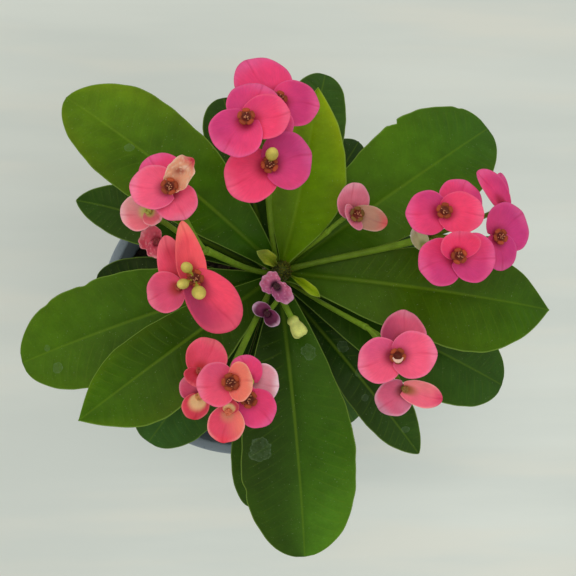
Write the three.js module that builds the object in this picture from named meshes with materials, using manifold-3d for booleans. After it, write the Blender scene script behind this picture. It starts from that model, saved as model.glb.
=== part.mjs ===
// Crown of thorns (Euphorbia milii, large-leaved form) growing in a round plastic pot.
// Millimetres, +Z up. The origin is the centre of the pot's underside.
import * as THREE from 'three';
import { mergeVertices } from 'three/addons/utils/BufferGeometryUtils.js';
import Module from 'manifold-3d';

const wasm = await Module();
wasm.setup();

// ---------------------------------------------------------------- driving dimensions

const pot = {
  height: 120,
  rimRadius: 70,
  rimWidth: 4.6, // flat top of the rim, from its outer edge to the inner wall
  rimDepth: 14, // how far the rim's collar hangs down
  collarStep: 2.2, // how far the collar stands out from the wall below it
  footRadius: 50,
  wall: 2.4,
  floor: 3,
  bevel: 0.8,
  sides: 32,
  drainHoles: 6,
  drainHoleRadius: 4,
  drainHoleCircle: 30,
  drainHoleSides: 10,
};

const soil = {
  surface: 104,
  gap: 0.35, // clearance to the pot's wall and floor
  bumpHeight: 0.9,
  bumpSize: 4.6,
  edgeDrop: 3.2, // the soil falls off this much against the pot's wall
  rings: 5,
  sides: 24,
  holeRadius: 10.6, // plain round hole that the stem stands in
};

// Middle line of the stem, with its radius at each point. It leans a little off the pot's axis.
const stemLine = [
  { at: [6.0, 6.0, 72], radius: 8.6 },
  { at: [6.0, 6.0, 104], radius: 9.6 },
  { at: [7.0, 7.2, 122], radius: 8.9 },
  { at: [8.8, 9.0, 145], radius: 8.0 },
  { at: [10.8, 10.9, 168], radius: 6.2 },
  { at: [12.0, 12.0, 185], radius: 3.6 },
  { at: [12.3, 12.3, 191], radius: 1.5 },
];
const stemSides = 12;
const stemRings = 13;

const thorn = {
  firstHeight: 108,
  lastHeight: 184,
  scarSpacing: 2.5, // height from one leaf scar to the next
  divergence: 137.5, // degrees round the stem from one scar to the next
  splay: 24, // degrees each of the two thorns stands off its scar
  length: [8, 13],
  lift: 8, // degrees above level, give or take liftSpread
  liftSpread: 14,
  baseRadius: 1.25,
  sides: 3,
  sunk: 2.2, // how deep its root lies in the stem
  clearOfLeaves: 3.2,
};

const bladeThickness = 0.75;
const seatGap = 0.4; // clearance between a leaf or stalk and the bark it grows from

const leafGrid = { stations: 8, columns: 4, crowding: 1.5 };
const midribSteps = 60;

// One row for each leaf, from the youngest at the growing tip to the oldest.
// base: height on the stem. azimuth: direction it leaves in. rise and droop: slope of the midrib at its
// base and at its tip. bow: how far its heading turns along its length. roll: turn about the midrib.
// fold: angle of the two halves above flat. taper: 0.5 gives a round end, 1 a pointed one.
// lean: share that its left half, seen from the stem, is narrower and its right half wider.
// widest: where it is widest, as a share of the length, on a leaf whose place differs from the others'.
const leafColumns = [
  'base', 'azimuth', 'length', 'width', 'rise', 'droop', 'bow', 'roll', 'fold', 'taper', 'lean', 'widest',
];
const leafRows = [
  [187.5, 152, 13.5, 7, 60, 25, 0, 0, 35, 1, 0],
  [186, 320, 18.5, 5.6, 52, 10, 0, 0, 48, 0.9, 0],
  [184, 78, 74.5, 30, 36, -4, 4, 4, 10, 1, 0.2, 0.45],
  [182, 140, 113.4, 40.5, 28, -20, 4, 5, 8, 0.6, 0.07],
  [180, 352.5, 117.3, 43, 26, -24, 0, -5, 8, 1.05, 0.12],
  [178.5, 217, 101, 35, 28, -18, 0, 4, 8, 1.05, -0.19],
  [177, 35.3, 112.6, 47, 24, -24, 0, -4, 8, 0.5, -0.06],
  [175, 275.5, 117.8, 48, 22, -24, 0, 0, 8, 0.55, 0],
  [172.5, 197.5, 111.5, 43, 20, -25, 4, 5, 7, 0.5, 0],
  [170, 335.5, 111.4, 41, 16, -28, 0, -4, 7, 0.5, 0],
  [167.5, 107.5, 81.8, 29, 16, -28, -4, 4, 7, 0.5, 0],
  [166, 310.5, 99, 23, 12, -28, 0, 6, 12, 0.8, 0],
  [163, 150.5, 92, 25, 12, -28, 16, -4, 7, 0.8, 0],
  [161, 75.5, 99, 30, 12, -28, 0, 4, 7, 0.5, 0],
  [159, 231.5, 86.5, 37, 8, -30, 3, -4, 7, 0.5, 0],
  [156, 265.3, 98.6, 22.5, 8, -30, 0, 5, 7, 0.6, 0],
  [154, 178, 75, 20, 4, -30, 0, 4, 7, 0.5, 0],
  [151.5, 18.5, 69.4, 26, 4, -30, -3, -5, 7, 0.5, 0],
  [149, 58, 82.4, 28, 2, -30, 0, 5, 7, 0.6, 0],
  [146, 304.5, 72.4, 30, 0, -34, 0, -5, 7, 0.5, 0],
];
const leaves = leafRows.map((row, k) => ({
  name: `leaf_${String(k + 1).padStart(2, '0')}`,
  widest: 0.66,
  ...Object.fromEntries(row.map((value, column) => [leafColumns[column], value])),
}));

const leafShape = {
  shoulder: 1.15, // above 1 draws the stalk end in
  stalkShare: 0.16, // width of the leaf's stalk end as a share of the full width
  tipShare: 0.03,
  ribAtBase: 1.9, // how far the midrib stands down below the blade
  ribAtTip: 0.3,
  fullRibLength: 60, // shorter leaves have a thinner midrib in proportion
  foldSpan: 1.6, // the fold is this many times its stated angle at the base, and 1 less at the tip
  waveHeight: 0.9,
  waves: 2.3,
  waveShift: 1.3, // radians between the waves of the two edges
};

const cup = { radius: 3.1, neck: 1.2, above: 0.4, depth: 2.2, dome: 0.6, sides: 5, smallShare: 0.55 };
const bud = { stalkRadius: 0.8, stalkSides: 4, rootDistance: 1.2, rootHeight: 0.9, around: 6, upwards: 4 };
const pedicel = { radius: 1.0, sides: 4, segments: 3, straight: 2.2, sunk: 0.7 };
const stalkSides = 6;
const stalkSegments = 6;
const forkSunk = 0.6; // how far the parts that meet at a fork overlap

const bract = {
  thickness: 0.7,
  innerRadius: 1.0,
  spread: 116, // degrees to each side of a bract's middle line
  centreShare: 0.42,
  rings: 2,
  rays: 6,
  raysIfSmall: 4, // on bracts shorter than smallLength
  smallLength: 9.5,
  tier: 1.05, // each bract of a bloom sits this much above the one before it
  collarRadius: 2.6,
  collarSides: 5,
  holeRadius: 1.6, // the flower's own stalk passes through
  holeLength: 20,
};

// One row for each bloom, named after its stalk: where its cup sits, how far it tips and towards which
// azimuth, and its bracts from the lowest up: azimuth, length, width, rise and curl (mm gained and lost
// along it), fold of its two halves, crumple, narrow (share that it narrows by its tip; below 0 it
// widens). Buds stand beside the cup: azimuth, distance, size.
// A bloom whose cup is young, spent or covered has a small one.
const blooms = [
  { name: 'bloom_top_1', at: [5.3, 67.8, 237], tip: 12, towards: 60,
    bracts: [[127, 19.8, 22, 4, 3], [-2, 15.4, 19, 3, 3]] },
  { name: 'bloom_top_2', at: [-6.3, 57.7, 247], tip: 8, towards: 150,
    bracts: [[70, 15.5, 19.5, 1.5, 3.5], [6, 15.5, 16.5, 4, 1.5], [236, 15.3, 19.5, 4, 2]] },
  { name: 'bloom_top_3', at: [2, 43.2, 241], tip: 6, towards: 270,
    bracts: [[209, 17.3, 20, 4, 3], [17, 15.6, 21.5, 4, 3]],
    buds: [[80, 3.4, 2.6]] },
  { name: 'bloom_top_4', at: [0.4, 61.2, 239.8], tip: 10, towards: 0, smallCup: true,
    bracts: [[140, 8, 11, 2, 1], [-42, 11.5, 13.5, 4, 1]] },

  { name: 'bloom_left_1', at: [-32.8, 33.5, 240], tip: 8, towards: 150,
    bracts: [[122, 15.6, 17, 2, 3], [294, 11.5, 15.5, 2, 3], [176, 14.4, 16.5, 4, 3],
      [44, 13, 11.5, 8, 1, 28, 0.6]] },
  { name: 'bloom_left_2', at: [-41, 27.4, 231], tip: 10, towards: 190, smallCup: true,
    bracts: [[188, 10.3, 13.6, 4, 2], [-40, 6.5, 9, 4, 1, 20]] },
  { name: 'bloom_left_3', at: [-37.9, 17.1, 226], tip: 14, towards: 200, smallCup: true,
    bracts: [[150, 6.8, 10, 4, 0, 0, 0.9], [-80, 6.5, 9, 3, 0, 0, 0.9]] },
  { name: 'bloom_left_4', at: [-24.4, 1.6, 243], tip: 5, towards: 320,
    bracts: [[103, 20.5, 13, 5, 4, -14, 0, 0.5], [-50, 22.5, 15.8, 5, 5, -12, 0, -0.35]],
    buds: [[130, 4.6, 2.3], [207, 4.7, 2.3], [284, 5.2, 2.8]] },
  { name: 'bloom_left_5', at: [-29.6, -0.8, 236], tip: 8, towards: 200, smallCup: true,
    bracts: [[105, 19, 13, 5, 1, 0, 0, 0.3], [202, 11.8, 15, 4, 2]] },

  { name: 'bloom_low_1', at: [-11.2, -34.6, 243], tip: 6, towards: 180,
    bracts: [[189, 11.8, 15.8, 5, 3], [2, 7.8, 13.8, 7, 1]] },
  { name: 'bloom_low_2', at: [-22.2, -31, 233], tip: 8, towards: 100, smallCup: true,
    bracts: [[64, 12.8, 15, 4, 2], [244, 6, 9, 4, 0.5]] },
  { name: 'bloom_low_3', at: [-21.6, -39.8, 229], tip: 22, towards: 180, smallCup: true,
    bracts: [[122, 9, 11, 3.4, 1, 20], [-98, 8.2, 11, 4, 1, 14]] },
  { name: 'bloom_low_4', at: [-4, -34.8, 230], tip: 6, towards: 60, smallCup: true,
    bracts: [[-6, 10.8, 14.6, 3, 2], [110, 10.3, 12, 3, 2]] },
  { name: 'bloom_low_5', at: [-5.3, -40.3, 235.5], tip: 12, towards: 320,
    bracts: [[-45, 12, 14.4, 4, 2], [120, 5, 7.4, 3, 1]] },
  { name: 'bloom_low_6', at: [-12, -44.7, 237.2], tip: 10, towards: 270, smallCup: true,
    bracts: [[-99, 11.2, 13.2, 4, 2], [80, 5, 6.6, 3.5, 0]] },

  { name: 'bloom_right_1', at: [70.2, 30.2, 226], tip: 6, towards: 200,
    bracts: [[184, 14.2, 17.5, 4, 3], [-5, 15, 16.5, 4, 2]] },
  { name: 'bloom_right_2', at: [74.9, 13.1, 226], tip: 6, towards: 270,
    bracts: [[200, 15.2, 18.5, 4, 3], [-4, 15, 19, 4, 3], [95, 9.3, 15.5, 7, 1]] },
  { name: 'bloom_right_3', at: [93.3, 21.8, 219], tip: 12, towards: 350,
    bracts: [[42, 15.4, 20.5, 4, 3], [-80, 13, 14.5, 3, 3]] },
  { name: 'bloom_right_4', at: [97.9, 35.2, 214], tip: 16, towards: 40, smallCup: true,
    bracts: [[95, 13.3, 6.8, 4, 1], [134, 17.5, 12, 6, 3, 22]] },
  { name: 'bloom_right_5', at: [77.4, 32.2, 218], tip: 6, towards: 60,
    bracts: [[68, 13, 18, 4, 3], [240, 6, 9, 1, 1]] },
  { name: 'bloom_right_6', at: [67.2, 19, 209], tip: 14, towards: 200, smallCup: true,
    bracts: [[122, 8.6, 7.4, 4, 0, 25]] },

  { name: 'bloom_corner_1', at: [52.4, -24.6, 220], tip: 4, towards: 270,
    bracts: [[197, 15.2, 17.6, 4, 3], [4, 15.4, 18.5, 4, 3]] },
  { name: 'bloom_corner_2', at: [57.6, -37.3, 211], tip: 8, towards: 260, smallCup: true,
    bracts: [[222, 12.8, 14.6, 3, 3], [-15, 15, 11, 5, 3, 24]] },
  { name: 'bloom_corner_3', at: [56.5, -20.6, 212], tip: 6, towards: 90, smallCup: true,
    bracts: [[81, 14.2, 21, 4, 3, 0, 0, 0.35], [300, 5, 8, 1, 1]] },

  { name: 'bloom_crown_1', at: [7.9, 3.4, 203], tip: 8, towards: 270, smallCup: true,
    bracts: [[150, 7, 9.8, 3, 1, 0, 0.6], [-48, 9, 8, 3, 1, 0, 0.5]] },
  { name: 'bloom_crown_2', at: [5.1, -6.9, 198], tip: 20, towards: 230, smallCup: true,
    bracts: [[143, 6.6, 6.8, 4, 1, 20], [-40, 6.2, 6.8, 4, 1, 18]] },

  { name: 'bloom_single', at: [38.9, 32.6, 204], tip: 16, towards: 330,
    bracts: [[100, 12.6, 14.5, 6, 2], [-13, 13.4, 10.8, 5, 1, 22], [215, 4.8, 12, 3, 0.5]] },
];

// Flower stalks: where each leaves the stem, and the point where it forks to its blooms, with its
// radius there.
const stalks = [
  { key: 'top', base: 184.5, azimuth: 117, slope: 56, fork: [2, 50, 226], radius: 1.4 },
  { key: 'left', base: 182.5, azimuth: 188, slope: 46, fork: [-20, 15.5, 215], radius: 1.5 },
  { key: 'low', base: 182, azimuth: 240, slope: 48, fork: [-11, -32, 219], radius: 1.5 },
  { key: 'right', base: 184, azimuth: 12, slope: 30, fork: [67, 23, 206], radius: 1.6 },
  { key: 'corner', base: 176.5, azimuth: 321, slope: 30, fork: [44.5, -13, 203], radius: 1.2 },
  { key: 'crown', base: 183, azimuth: 265, slope: 35, fork: [11, 1, 191], radius: 1.2 },
  { key: 'single', base: 181, azimuth: 45, slope: 32, fork: [30, 27, 197], radius: 1.1 },
];
const rootShare = 0.7; // radius of a stalk where it leaves the stem, as a share of that at its fork
const upturn = { more: 25, most: 75 }; // degrees a stalk turns up by its fork

// A pair of bracts still folded shut, on a stalk of its own.
const closedBud = {
  stalk: 'crown',
  at: [16.8, -12.3, 196],
  azimuth: 300,
  slope: 4,
  size: [3.2, 2.6, 4.8],
  around: 8,
  upwards: 6,
  stalkRadius: 1.3,
  stalkSides: 5,
  segments: 4,
};

const colours = {
  pot: 0x66727d,
  soil: 0x2b2119,
  bark: 0x6e6453,
  youngLeaf: 0x6f8a12,
  leaf: 0x2f5a1a,
  stalk: 0x74923a,
  bloom: 0xda3f76,
  fadedBloom: 0xc07f86,
};
const youngLeaves = ['leaf_01', 'leaf_02', 'leaf_03', 'leaf_04', 'leaf_06'];
const fadedBlooms = [
  'bloom_left_2', 'bloom_left_3', 'bloom_right_6', 'bloom_crown_1', 'bloom_crown_2', 'bloom_single',
];

// ---------------------------------------------------------------- small helpers

const zAxis = new THREE.Vector3(0, 0, 1);
const radians = THREE.MathUtils.degToRad;

function heading(azimuth, slope = 0) {
  const a = radians(azimuth);
  const s = radians(slope);
  return new THREE.Vector3(Math.cos(a) * Math.cos(s), Math.sin(a) * Math.cos(s), Math.sin(s));
}

function signedVolume(geometry) {
  const corners = geometry.getAttribute('position');
  const order = geometry.index;
  const [a, b, c] = [new THREE.Vector3(), new THREE.Vector3(), new THREE.Vector3()];
  let total = 0;
  for (let i = 0; i < order.count; i += 3) {
    a.fromBufferAttribute(corners, order.getX(i));
    b.fromBufferAttribute(corners, order.getX(i + 1));
    c.fromBufferAttribute(corners, order.getX(i + 2));
    total += a.dot(b.cross(c)) / 6;
  }
  return total;
}

// Merges shared corners, drops flattened triangles and turns the faces outwards.
function closed(geometry) {
  const bare = geometry.clone();
  bare.deleteAttribute('normal');
  bare.deleteAttribute('uv');
  const merged = mergeVertices(bare, 1e-3);
  const kept = [];
  for (let i = 0; i < merged.index.count; i += 3) {
    const [a, b, c] = [0, 1, 2].map((k) => merged.index.getX(i + k));
    if (a !== b && b !== c && c !== a) kept.push(a, b, c);
  }
  merged.setIndex(kept);
  if (signedVolume(merged) < 0) merged.setIndex(kept.reverse());
  return merged;
}

function solidOf(geometry) {
  const shape = closed(geometry);
  return new wasm.Manifold(new wasm.Mesh({
    numProp: 3,
    vertProperties: new Float32Array(shape.getAttribute('position').array),
    triVerts: new Uint32Array(shape.index.array),
  }));
}

function geometryOf(solid) {
  const mesh = solid.getMesh();
  const geometry = new THREE.BufferGeometry();
  geometry.setAttribute('position', new THREE.BufferAttribute(mesh.vertProperties, 3));
  geometry.setIndex(new THREE.BufferAttribute(mesh.triVerts, 1));
  return geometry;
}

function joined(geometries) {
  return geometries.map(solidOf).reduce((whole, piece) => whole.add(piece));
}

function named(name, geometry, colour, roughness = 0.6) {
  const material = new THREE.MeshStandardMaterial({ color: colour, roughness, metalness: 0 });
  const mesh = new THREE.Mesh(geometry, material);
  mesh.name = name;
  return mesh;
}

function upright(radius, low, high, sides) {
  const geometry = new THREE.CylinderGeometry(radius, radius, high - low, sides);
  geometry.rotateX(Math.PI / 2);
  geometry.translate(0, 0, (high + low) / 2);
  return geometry;
}

function ball(width, depth, height, around, upwards) {
  const geometry = new THREE.SphereGeometry(1, around, upwards);
  geometry.rotateX(Math.PI / 2);
  geometry.scale(width, depth, height);
  return geometry;
}

// Turns a geometry's +Z towards a direction and sets it at a point.
function set(geometry, at, towards) {
  const turn = new THREE.Quaternion().setFromUnitVectors(zAxis, towards);
  return geometry.applyMatrix4(new THREE.Matrix4().compose(at, turn, new THREE.Vector3(1, 1, 1)));
}

// A blade of even thickness under a grid of points: rows run outwards, columns from right to left.
function blade(grid, thicknessAt) {
  const rows = grid.length;
  const columns = grid[0].length;
  const under = grid.map((row, i) => row.map((point, j) => {
    const [outer, inner] = [grid[Math.min(i + 1, rows - 1)][j], grid[Math.max(i - 1, 0)][j]];
    const [left, right] = [row[Math.min(j + 1, columns - 1)], row[Math.max(j - 1, 0)]];
    const along = new THREE.Vector3().subVectors(outer, inner);
    const across = new THREE.Vector3().subVectors(left, right);
    const down = across.cross(along).normalize();
    return point.clone().addScaledVector(down, thicknessAt(i, j));
  }));
  const corners = [...grid.flat(), ...under.flat()];
  const top = (i, j) => i * columns + j;
  const bottom = (i, j) => rows * columns + i * columns + j;
  const faces = [];
  for (let i = 0; i < rows - 1; i += 1) {
    for (let j = 0; j < columns - 1; j += 1) {
      faces.push(top(i, j), top(i + 1, j), top(i + 1, j + 1), top(i, j), top(i + 1, j + 1), top(i, j + 1));
      faces.push(bottom(i, j), bottom(i + 1, j + 1), bottom(i + 1, j));
      faces.push(bottom(i, j), bottom(i, j + 1), bottom(i + 1, j + 1));
    }
  }
  const edge = [];
  for (let i = 0; i < rows - 1; i += 1) edge.push([i, 0]);
  for (let j = 0; j < columns - 1; j += 1) edge.push([rows - 1, j]);
  for (let i = rows - 1; i > 0; i -= 1) edge.push([i, columns - 1]);
  for (let j = columns - 1; j > 0; j -= 1) edge.push([0, j]);
  edge.forEach((here, k) => {
    const next = edge[(k + 1) % edge.length];
    faces.push(top(...here), bottom(...here), bottom(...next), top(...here), bottom(...next), top(...next));
  });
  const geometry = new THREE.BufferGeometry().setFromPoints(corners);
  geometry.setIndex(faces);
  return geometry;
}

// A closed round bar through the points, with a radius for each point.
function bar(points, radii, sides) {
  const corners = [];
  const faces = [];
  let side = new THREE.Vector3(1, 0, 0);
  points.forEach((point, i) => {
    const before = points[Math.max(i - 1, 0)];
    const after = points[Math.min(i + 1, points.length - 1)];
    const along = new THREE.Vector3().subVectors(after, before).normalize();
    side = side.clone().addScaledVector(along, -side.dot(along)).normalize();
    const other = new THREE.Vector3().crossVectors(along, side);
    for (let k = 0; k < sides; k += 1) {
      const turn = (2 * Math.PI * k) / sides;
      corners.push(point.clone()
        .addScaledVector(side, Math.cos(turn) * radii[i])
        .addScaledVector(other, Math.sin(turn) * radii[i]));
    }
  });
  const last = (points.length - 1) * sides;
  for (let i = 0; i < points.length - 1; i += 1) {
    for (let k = 0; k < sides; k += 1) {
      const [a, b] = [i * sides + k, i * sides + ((k + 1) % sides)];
      faces.push(a, b, b + sides, a, b + sides, a + sides);
    }
  }
  for (let k = 1; k < sides - 1; k += 1) {
    faces.push(0, k + 1, k);
    faces.push(last, last + k, last + k + 1);
  }
  const geometry = new THREE.BufferGeometry().setFromPoints(corners);
  geometry.setIndex(faces);
  return geometry;
}

// ---------------------------------------------------------------- pot and soil

function potGeometry() {
  const inner = pot.rimRadius - pot.rimWidth;
  const underCollar = pot.rimRadius - pot.collarStep;
  const collarFoot = pot.height - pot.rimDepth;
  const profile = [
    [0, 0],
    [pot.footRadius - pot.bevel, 0],
    [pot.footRadius, pot.bevel],
    [underCollar, collarFoot],
    [pot.rimRadius - pot.bevel, collarFoot],
    [pot.rimRadius, collarFoot + pot.bevel],
    [pot.rimRadius, pot.height - pot.bevel],
    [pot.rimRadius - pot.bevel, pot.height],
    [inner + pot.bevel, pot.height],
    [inner, pot.height - pot.bevel],
    [pot.footRadius - pot.wall, pot.floor],
    [0, pot.floor],
  ].map(([radius, height]) => new THREE.Vector2(radius, height));
  const body = new THREE.LatheGeometry(profile, pot.sides);
  body.rotateX(Math.PI / 2);
  const drilled = [];
  for (let k = 0; k < pot.drainHoles; k += 1) {
    const hole = upright(pot.drainHoleRadius, -pot.floor, 2 * pot.floor, pot.drainHoleSides);
    const place = heading((360 * k) / pot.drainHoles).multiplyScalar(pot.drainHoleCircle);
    hole.translate(place.x, place.y, 0);
    drilled.push(hole);
  }
  return geometryOf(drilled.map(solidOf).reduce((whole, hole) => whole.subtract(hole), solidOf(body)));
}

// Distance from the axis to the flats of the pot's inner wall at a height.
function innerReach(height) {
  const share = (height - pot.floor) / (pot.height - pot.bevel - pot.floor);
  const corner = THREE.MathUtils.lerp(pot.footRadius - pot.wall, pot.rimRadius - pot.rimWidth, share);
  return corner * Math.cos(Math.PI / pot.sides);
}

function soilGeometry() {
  const low = pot.floor + soil.gap;
  const edge = innerReach(soil.surface - soil.edgeDrop) - soil.gap;
  const profile = [new THREE.Vector2(0, low), new THREE.Vector2(innerReach(low) - soil.gap, low)];
  for (let k = 0; k <= soil.rings; k += 1) {
    const dip = k === 0 ? soil.edgeDrop : 0;
    profile.push(new THREE.Vector2(edge * (1 - k / soil.rings), soil.surface - dip));
  }
  const body = new THREE.LatheGeometry(profile, soil.sides);
  body.rotateX(Math.PI / 2);
  const mound = closed(body);
  const place = mound.getAttribute('position');
  for (let i = 0; i < place.count; i += 1) {
    const [x, y, z] = [place.getX(i), place.getY(i), place.getZ(i)];
    const [u, v] = [x / soil.bumpSize, y / soil.bumpSize];
    const bump = Math.sin(u + 1) * Math.cos(v) + 0.6 * Math.sin((u - 2 * v) / 2);
    if (z > soil.surface - soil.edgeDrop / 2) place.setZ(i, z + soil.bumpHeight * bump);
  }
  const [x, y, bottom] = stemLine[0].at;
  const hole = upright(soil.holeRadius, bottom - soil.gap, pot.height, stemSides);
  hole.translate(x, y, 0);
  return geometryOf(solidOf(mound).subtract(solidOf(hole)));
}

// ---------------------------------------------------------------- stem

const stemCurve = new THREE.CatmullRomCurve3(stemLine.map(({ at }) => new THREE.Vector3(...at)));

// Where the stem's middle line and radius are at a height.
function stemAt(height) {
  const above = Math.max(1, stemLine.findIndex(({ at }) => at[2] >= height));
  const [low, high] = [stemLine[above - 1], stemLine[above]];
  const share = (height - low.at[2]) / (high.at[2] - low.at[2]);
  return {
    centre: new THREE.Vector3(...low.at).lerp(new THREE.Vector3(...high.at), share),
    radius: THREE.MathUtils.lerp(low.radius, high.radius, share),
  };
}

function stemPoint(height, azimuth, stand) {
  const { centre, radius } = stemAt(height);
  return centre.addScaledVector(heading(azimuth), radius + stand);
}

// ---------------------------------------------------------------- leaves

// Half width as a share of the full half width: a sine up to the widest place, then a rounded end.
function leafOutline(leaf, t) {
  const { stalkShare, tipShare, shoulder } = leafShape;
  if (t < leaf.widest) {
    return stalkShare + (1 - stalkShare) * Math.sin((Math.PI / 2) * (t / leaf.widest)) ** shoulder;
  }
  const past = (t - leaf.widest) / (1 - leaf.widest);
  return Math.max(tipShare, (1 - past * past) ** leaf.taper);
}

// The midrib from base to tip: its heading and its slope change evenly along its length.
function midrib(leaf) {
  const points = [new THREE.Vector3()];
  const step = leaf.length / midribSteps;
  for (let k = 0; k < midribSteps; k += 1) {
    const t = (k + 0.5) / midribSteps;
    const slope = THREE.MathUtils.lerp(leaf.rise, leaf.droop, t);
    points.push(points[k].clone().addScaledVector(heading(leaf.bow * t, slope), step));
  }
  return points;
}

function leafGridPoints(leaf, stations, columns) {
  const rib = new THREE.CatmullRomCurve3(midrib(leaf));
  const grid = [];
  for (let i = 0; i <= stations; i += 1) {
    const t = 1 - (1 - i / stations) ** leafGrid.crowding;
    const slope = THREE.MathUtils.lerp(leaf.rise, leaf.droop, t);
    const along = heading(leaf.bow * t, slope);
    const flatSide = heading(leaf.bow * t + 90);
    const flatUp = new THREE.Vector3().crossVectors(along, flatSide);
    const roll = radians(leaf.roll * t);
    const side = flatSide.clone().multiplyScalar(Math.cos(roll)).addScaledVector(flatUp, Math.sin(roll));
    const up = flatUp.clone().multiplyScalar(Math.cos(roll)).addScaledVector(flatSide, -Math.sin(roll));
    const half = 0.5 * leaf.width * leafOutline(leaf, t);
    const fold = radians(leaf.fold * (leafShape.foldSpan - t));
    const row = [];
    for (let j = 0; j <= columns; j += 1) {
      const v = (2 * j) / columns - 1;
      const shift = leaf.azimuth + (v > 0 ? leafShape.waveShift : 0);
      const wave = Math.sin(2 * Math.PI * leafShape.waves * t + shift);
      const ripple = leafShape.waveHeight * wave * v * v * leafOutline(leaf, t);
      const lift = Math.abs(v) * half * Math.sin(fold) + ripple;
      row.push(rib.getPoint(t)
        .addScaledVector(side, v * (1 - leaf.lean * v) * half * Math.cos(fold))
        .addScaledVector(up, lift));
    }
    grid.push(row);
  }
  return grid;
}

function leafGeometry(leaf) {
  const { stations, columns } = leafGrid;
  const scale = Math.min(1, leaf.length / leafShape.fullRibLength);
  return blade(leafGridPoints(leaf, stations, columns), (i, j) => {
    const rib = THREE.MathUtils.lerp(leafShape.ribAtBase, leafShape.ribAtTip, i / stations);
    return bladeThickness + (j === columns / 2 ? rib * scale : 0);
  });
}

function placedLeaf(leaf) {
  const young = youngLeaves.includes(leaf.name);
  const mesh = named(leaf.name, leafGeometry(leaf), young ? colours.youngLeaf : colours.leaf, 0.45);
  mesh.position.copy(stemPoint(leaf.base, leaf.azimuth, seatGap));
  mesh.rotation.z = radians(leaf.azimuth);
  return mesh;
}

// ---------------------------------------------------------------- blooms

// A bract is part of an ellipse seen from a point inside it, so its two lobes reach back past the stalk.
function bractReach(length, width, turn) {
  const centre = bract.centreShare * length;
  const alongHalf = length - centre;
  const acrossHalf = width / 2;
  const [c, s] = [Math.cos(turn), Math.sin(turn)];
  const q = (c / alongHalf) ** 2 + (s / acrossHalf) ** 2;
  const p = (centre * c) / alongHalf ** 2;
  return (p + Math.sqrt(p * p - q * ((centre / alongHalf) ** 2 - 1))) / q;
}

function bractGeometry([azimuth, length, width, rise, curl, fold = 0, crumple = 0, narrow = 0], tier) {
  const tilt = radians(fold);
  const rays = length < bract.smallLength ? bract.raysIfSmall : bract.rays;
  const grid = [];
  for (let i = 0; i <= bract.rings; i += 1) {
    const row = [];
    for (let j = 0; j <= rays; j += 1) {
      const turn = radians(bract.spread * ((2 * j) / rays - 1));
      const reach = bractReach(length, width, turn);
      const r = THREE.MathUtils.lerp(bract.innerRadius, reach, i / bract.rings);
      const s = r / length;
      const across = r * Math.sin(turn) * (1 - narrow * Math.max(0, s * Math.cos(turn)));
      const gable = Math.abs(across) * Math.sin(tilt) * Math.min(1, 1.5 * s);
      const ripple = crumple * s * Math.sin(4 * turn + 5 * s);
      const height = tier * bract.tier + rise * s ** 1.5 - curl * s ** 3 + gable + ripple;
      row.push(new THREE.Vector3(r * Math.cos(turn), across * Math.cos(tilt), height));
    }
    grid.push(row);
  }
  const geometry = blade(grid, () => bract.thickness);
  geometry.rotateZ(radians(azimuth));
  return geometry;
}

// Top of the collar that joins a bloom's bracts, above the lowest bract.
function collarTop(bloom) {
  return bract.tier * (bloom.bracts.length - 1);
}

function placedBloom(bloom) {
  const collar = upright(bract.collarRadius, -bract.thickness, collarTop(bloom), bract.collarSides);
  const hole = upright(bract.holeRadius, -bract.holeLength / 2, bract.holeLength / 2, bract.collarSides);
  const body = joined([...bloom.bracts.map(bractGeometry), collar]).subtract(solidOf(hole));
  const colour = fadedBlooms.includes(bloom.name) ? colours.fadedBloom : colours.bloom;
  const mesh = named(bloom.name, geometryOf(body), colour, 0.6);
  mesh.position.set(...bloom.at);
  mesh.quaternion.setFromUnitVectors(zAxis, heading(bloom.towards, 90 - bloom.tip));
  return mesh;
}

// ---------------------------------------------------------------- stalks with their cups and buds

function cupGeometry(bloom) {
  const bottom = collarTop(bloom) + cup.above;
  const share = bloom.smallCup ? cup.smallShare : 1;
  const profile = [
    [0, bottom],
    [cup.neck, bottom],
    [cup.radius * share, bottom + cup.depth * share],
    [0, bottom + (cup.depth + cup.dome) * share],
  ].map(([radius, height]) => new THREE.Vector2(radius, height));
  const geometry = new THREE.LatheGeometry(profile, cup.sides);
  geometry.rotateX(Math.PI / 2);
  return geometry;
}

function budParts(bloom, [azimuth, distance, size]) {
  const low = collarTop(bloom) + cup.above + bud.rootHeight;
  const root = heading(azimuth).multiplyScalar(bud.rootDistance).setZ(low);
  const seat = heading(azimuth).multiplyScalar(distance).setZ(low + 1.3 * size);
  const bend = root.clone().lerp(seat, 0.5).setZ(low + 0.6 * size);
  const points = [root, bend, seat];
  const stalk = bar(points, points.map(() => bud.stalkRadius), bud.stalkSides);
  return [stalk, set(ball(0.9 * size, 0.9 * size, 1.1 * size, bud.around, bud.upwards), seat, zAxis)];
}

function pedicelGeometry(from, leaving, bloom) {
  const facing = heading(bloom.towards, 90 - bloom.tip);
  const centre = new THREE.Vector3(...bloom.at);
  const below = centre.clone().addScaledVector(facing, -pedicel.straight);
  const pull = from.distanceTo(below) / 3;
  const curve = new THREE.CubicBezierCurve3(
    from,
    from.clone().addScaledVector(leaving, pull),
    below.clone().addScaledVector(facing, -pull),
    below,
  );
  const end = centre.clone().addScaledVector(facing, collarTop(bloom) + cup.above + pedicel.sunk);
  const points = [...curve.getPoints(pedicel.segments), end];
  return bar(points, points.map(() => pedicel.radius), pedicel.sides);
}

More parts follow.
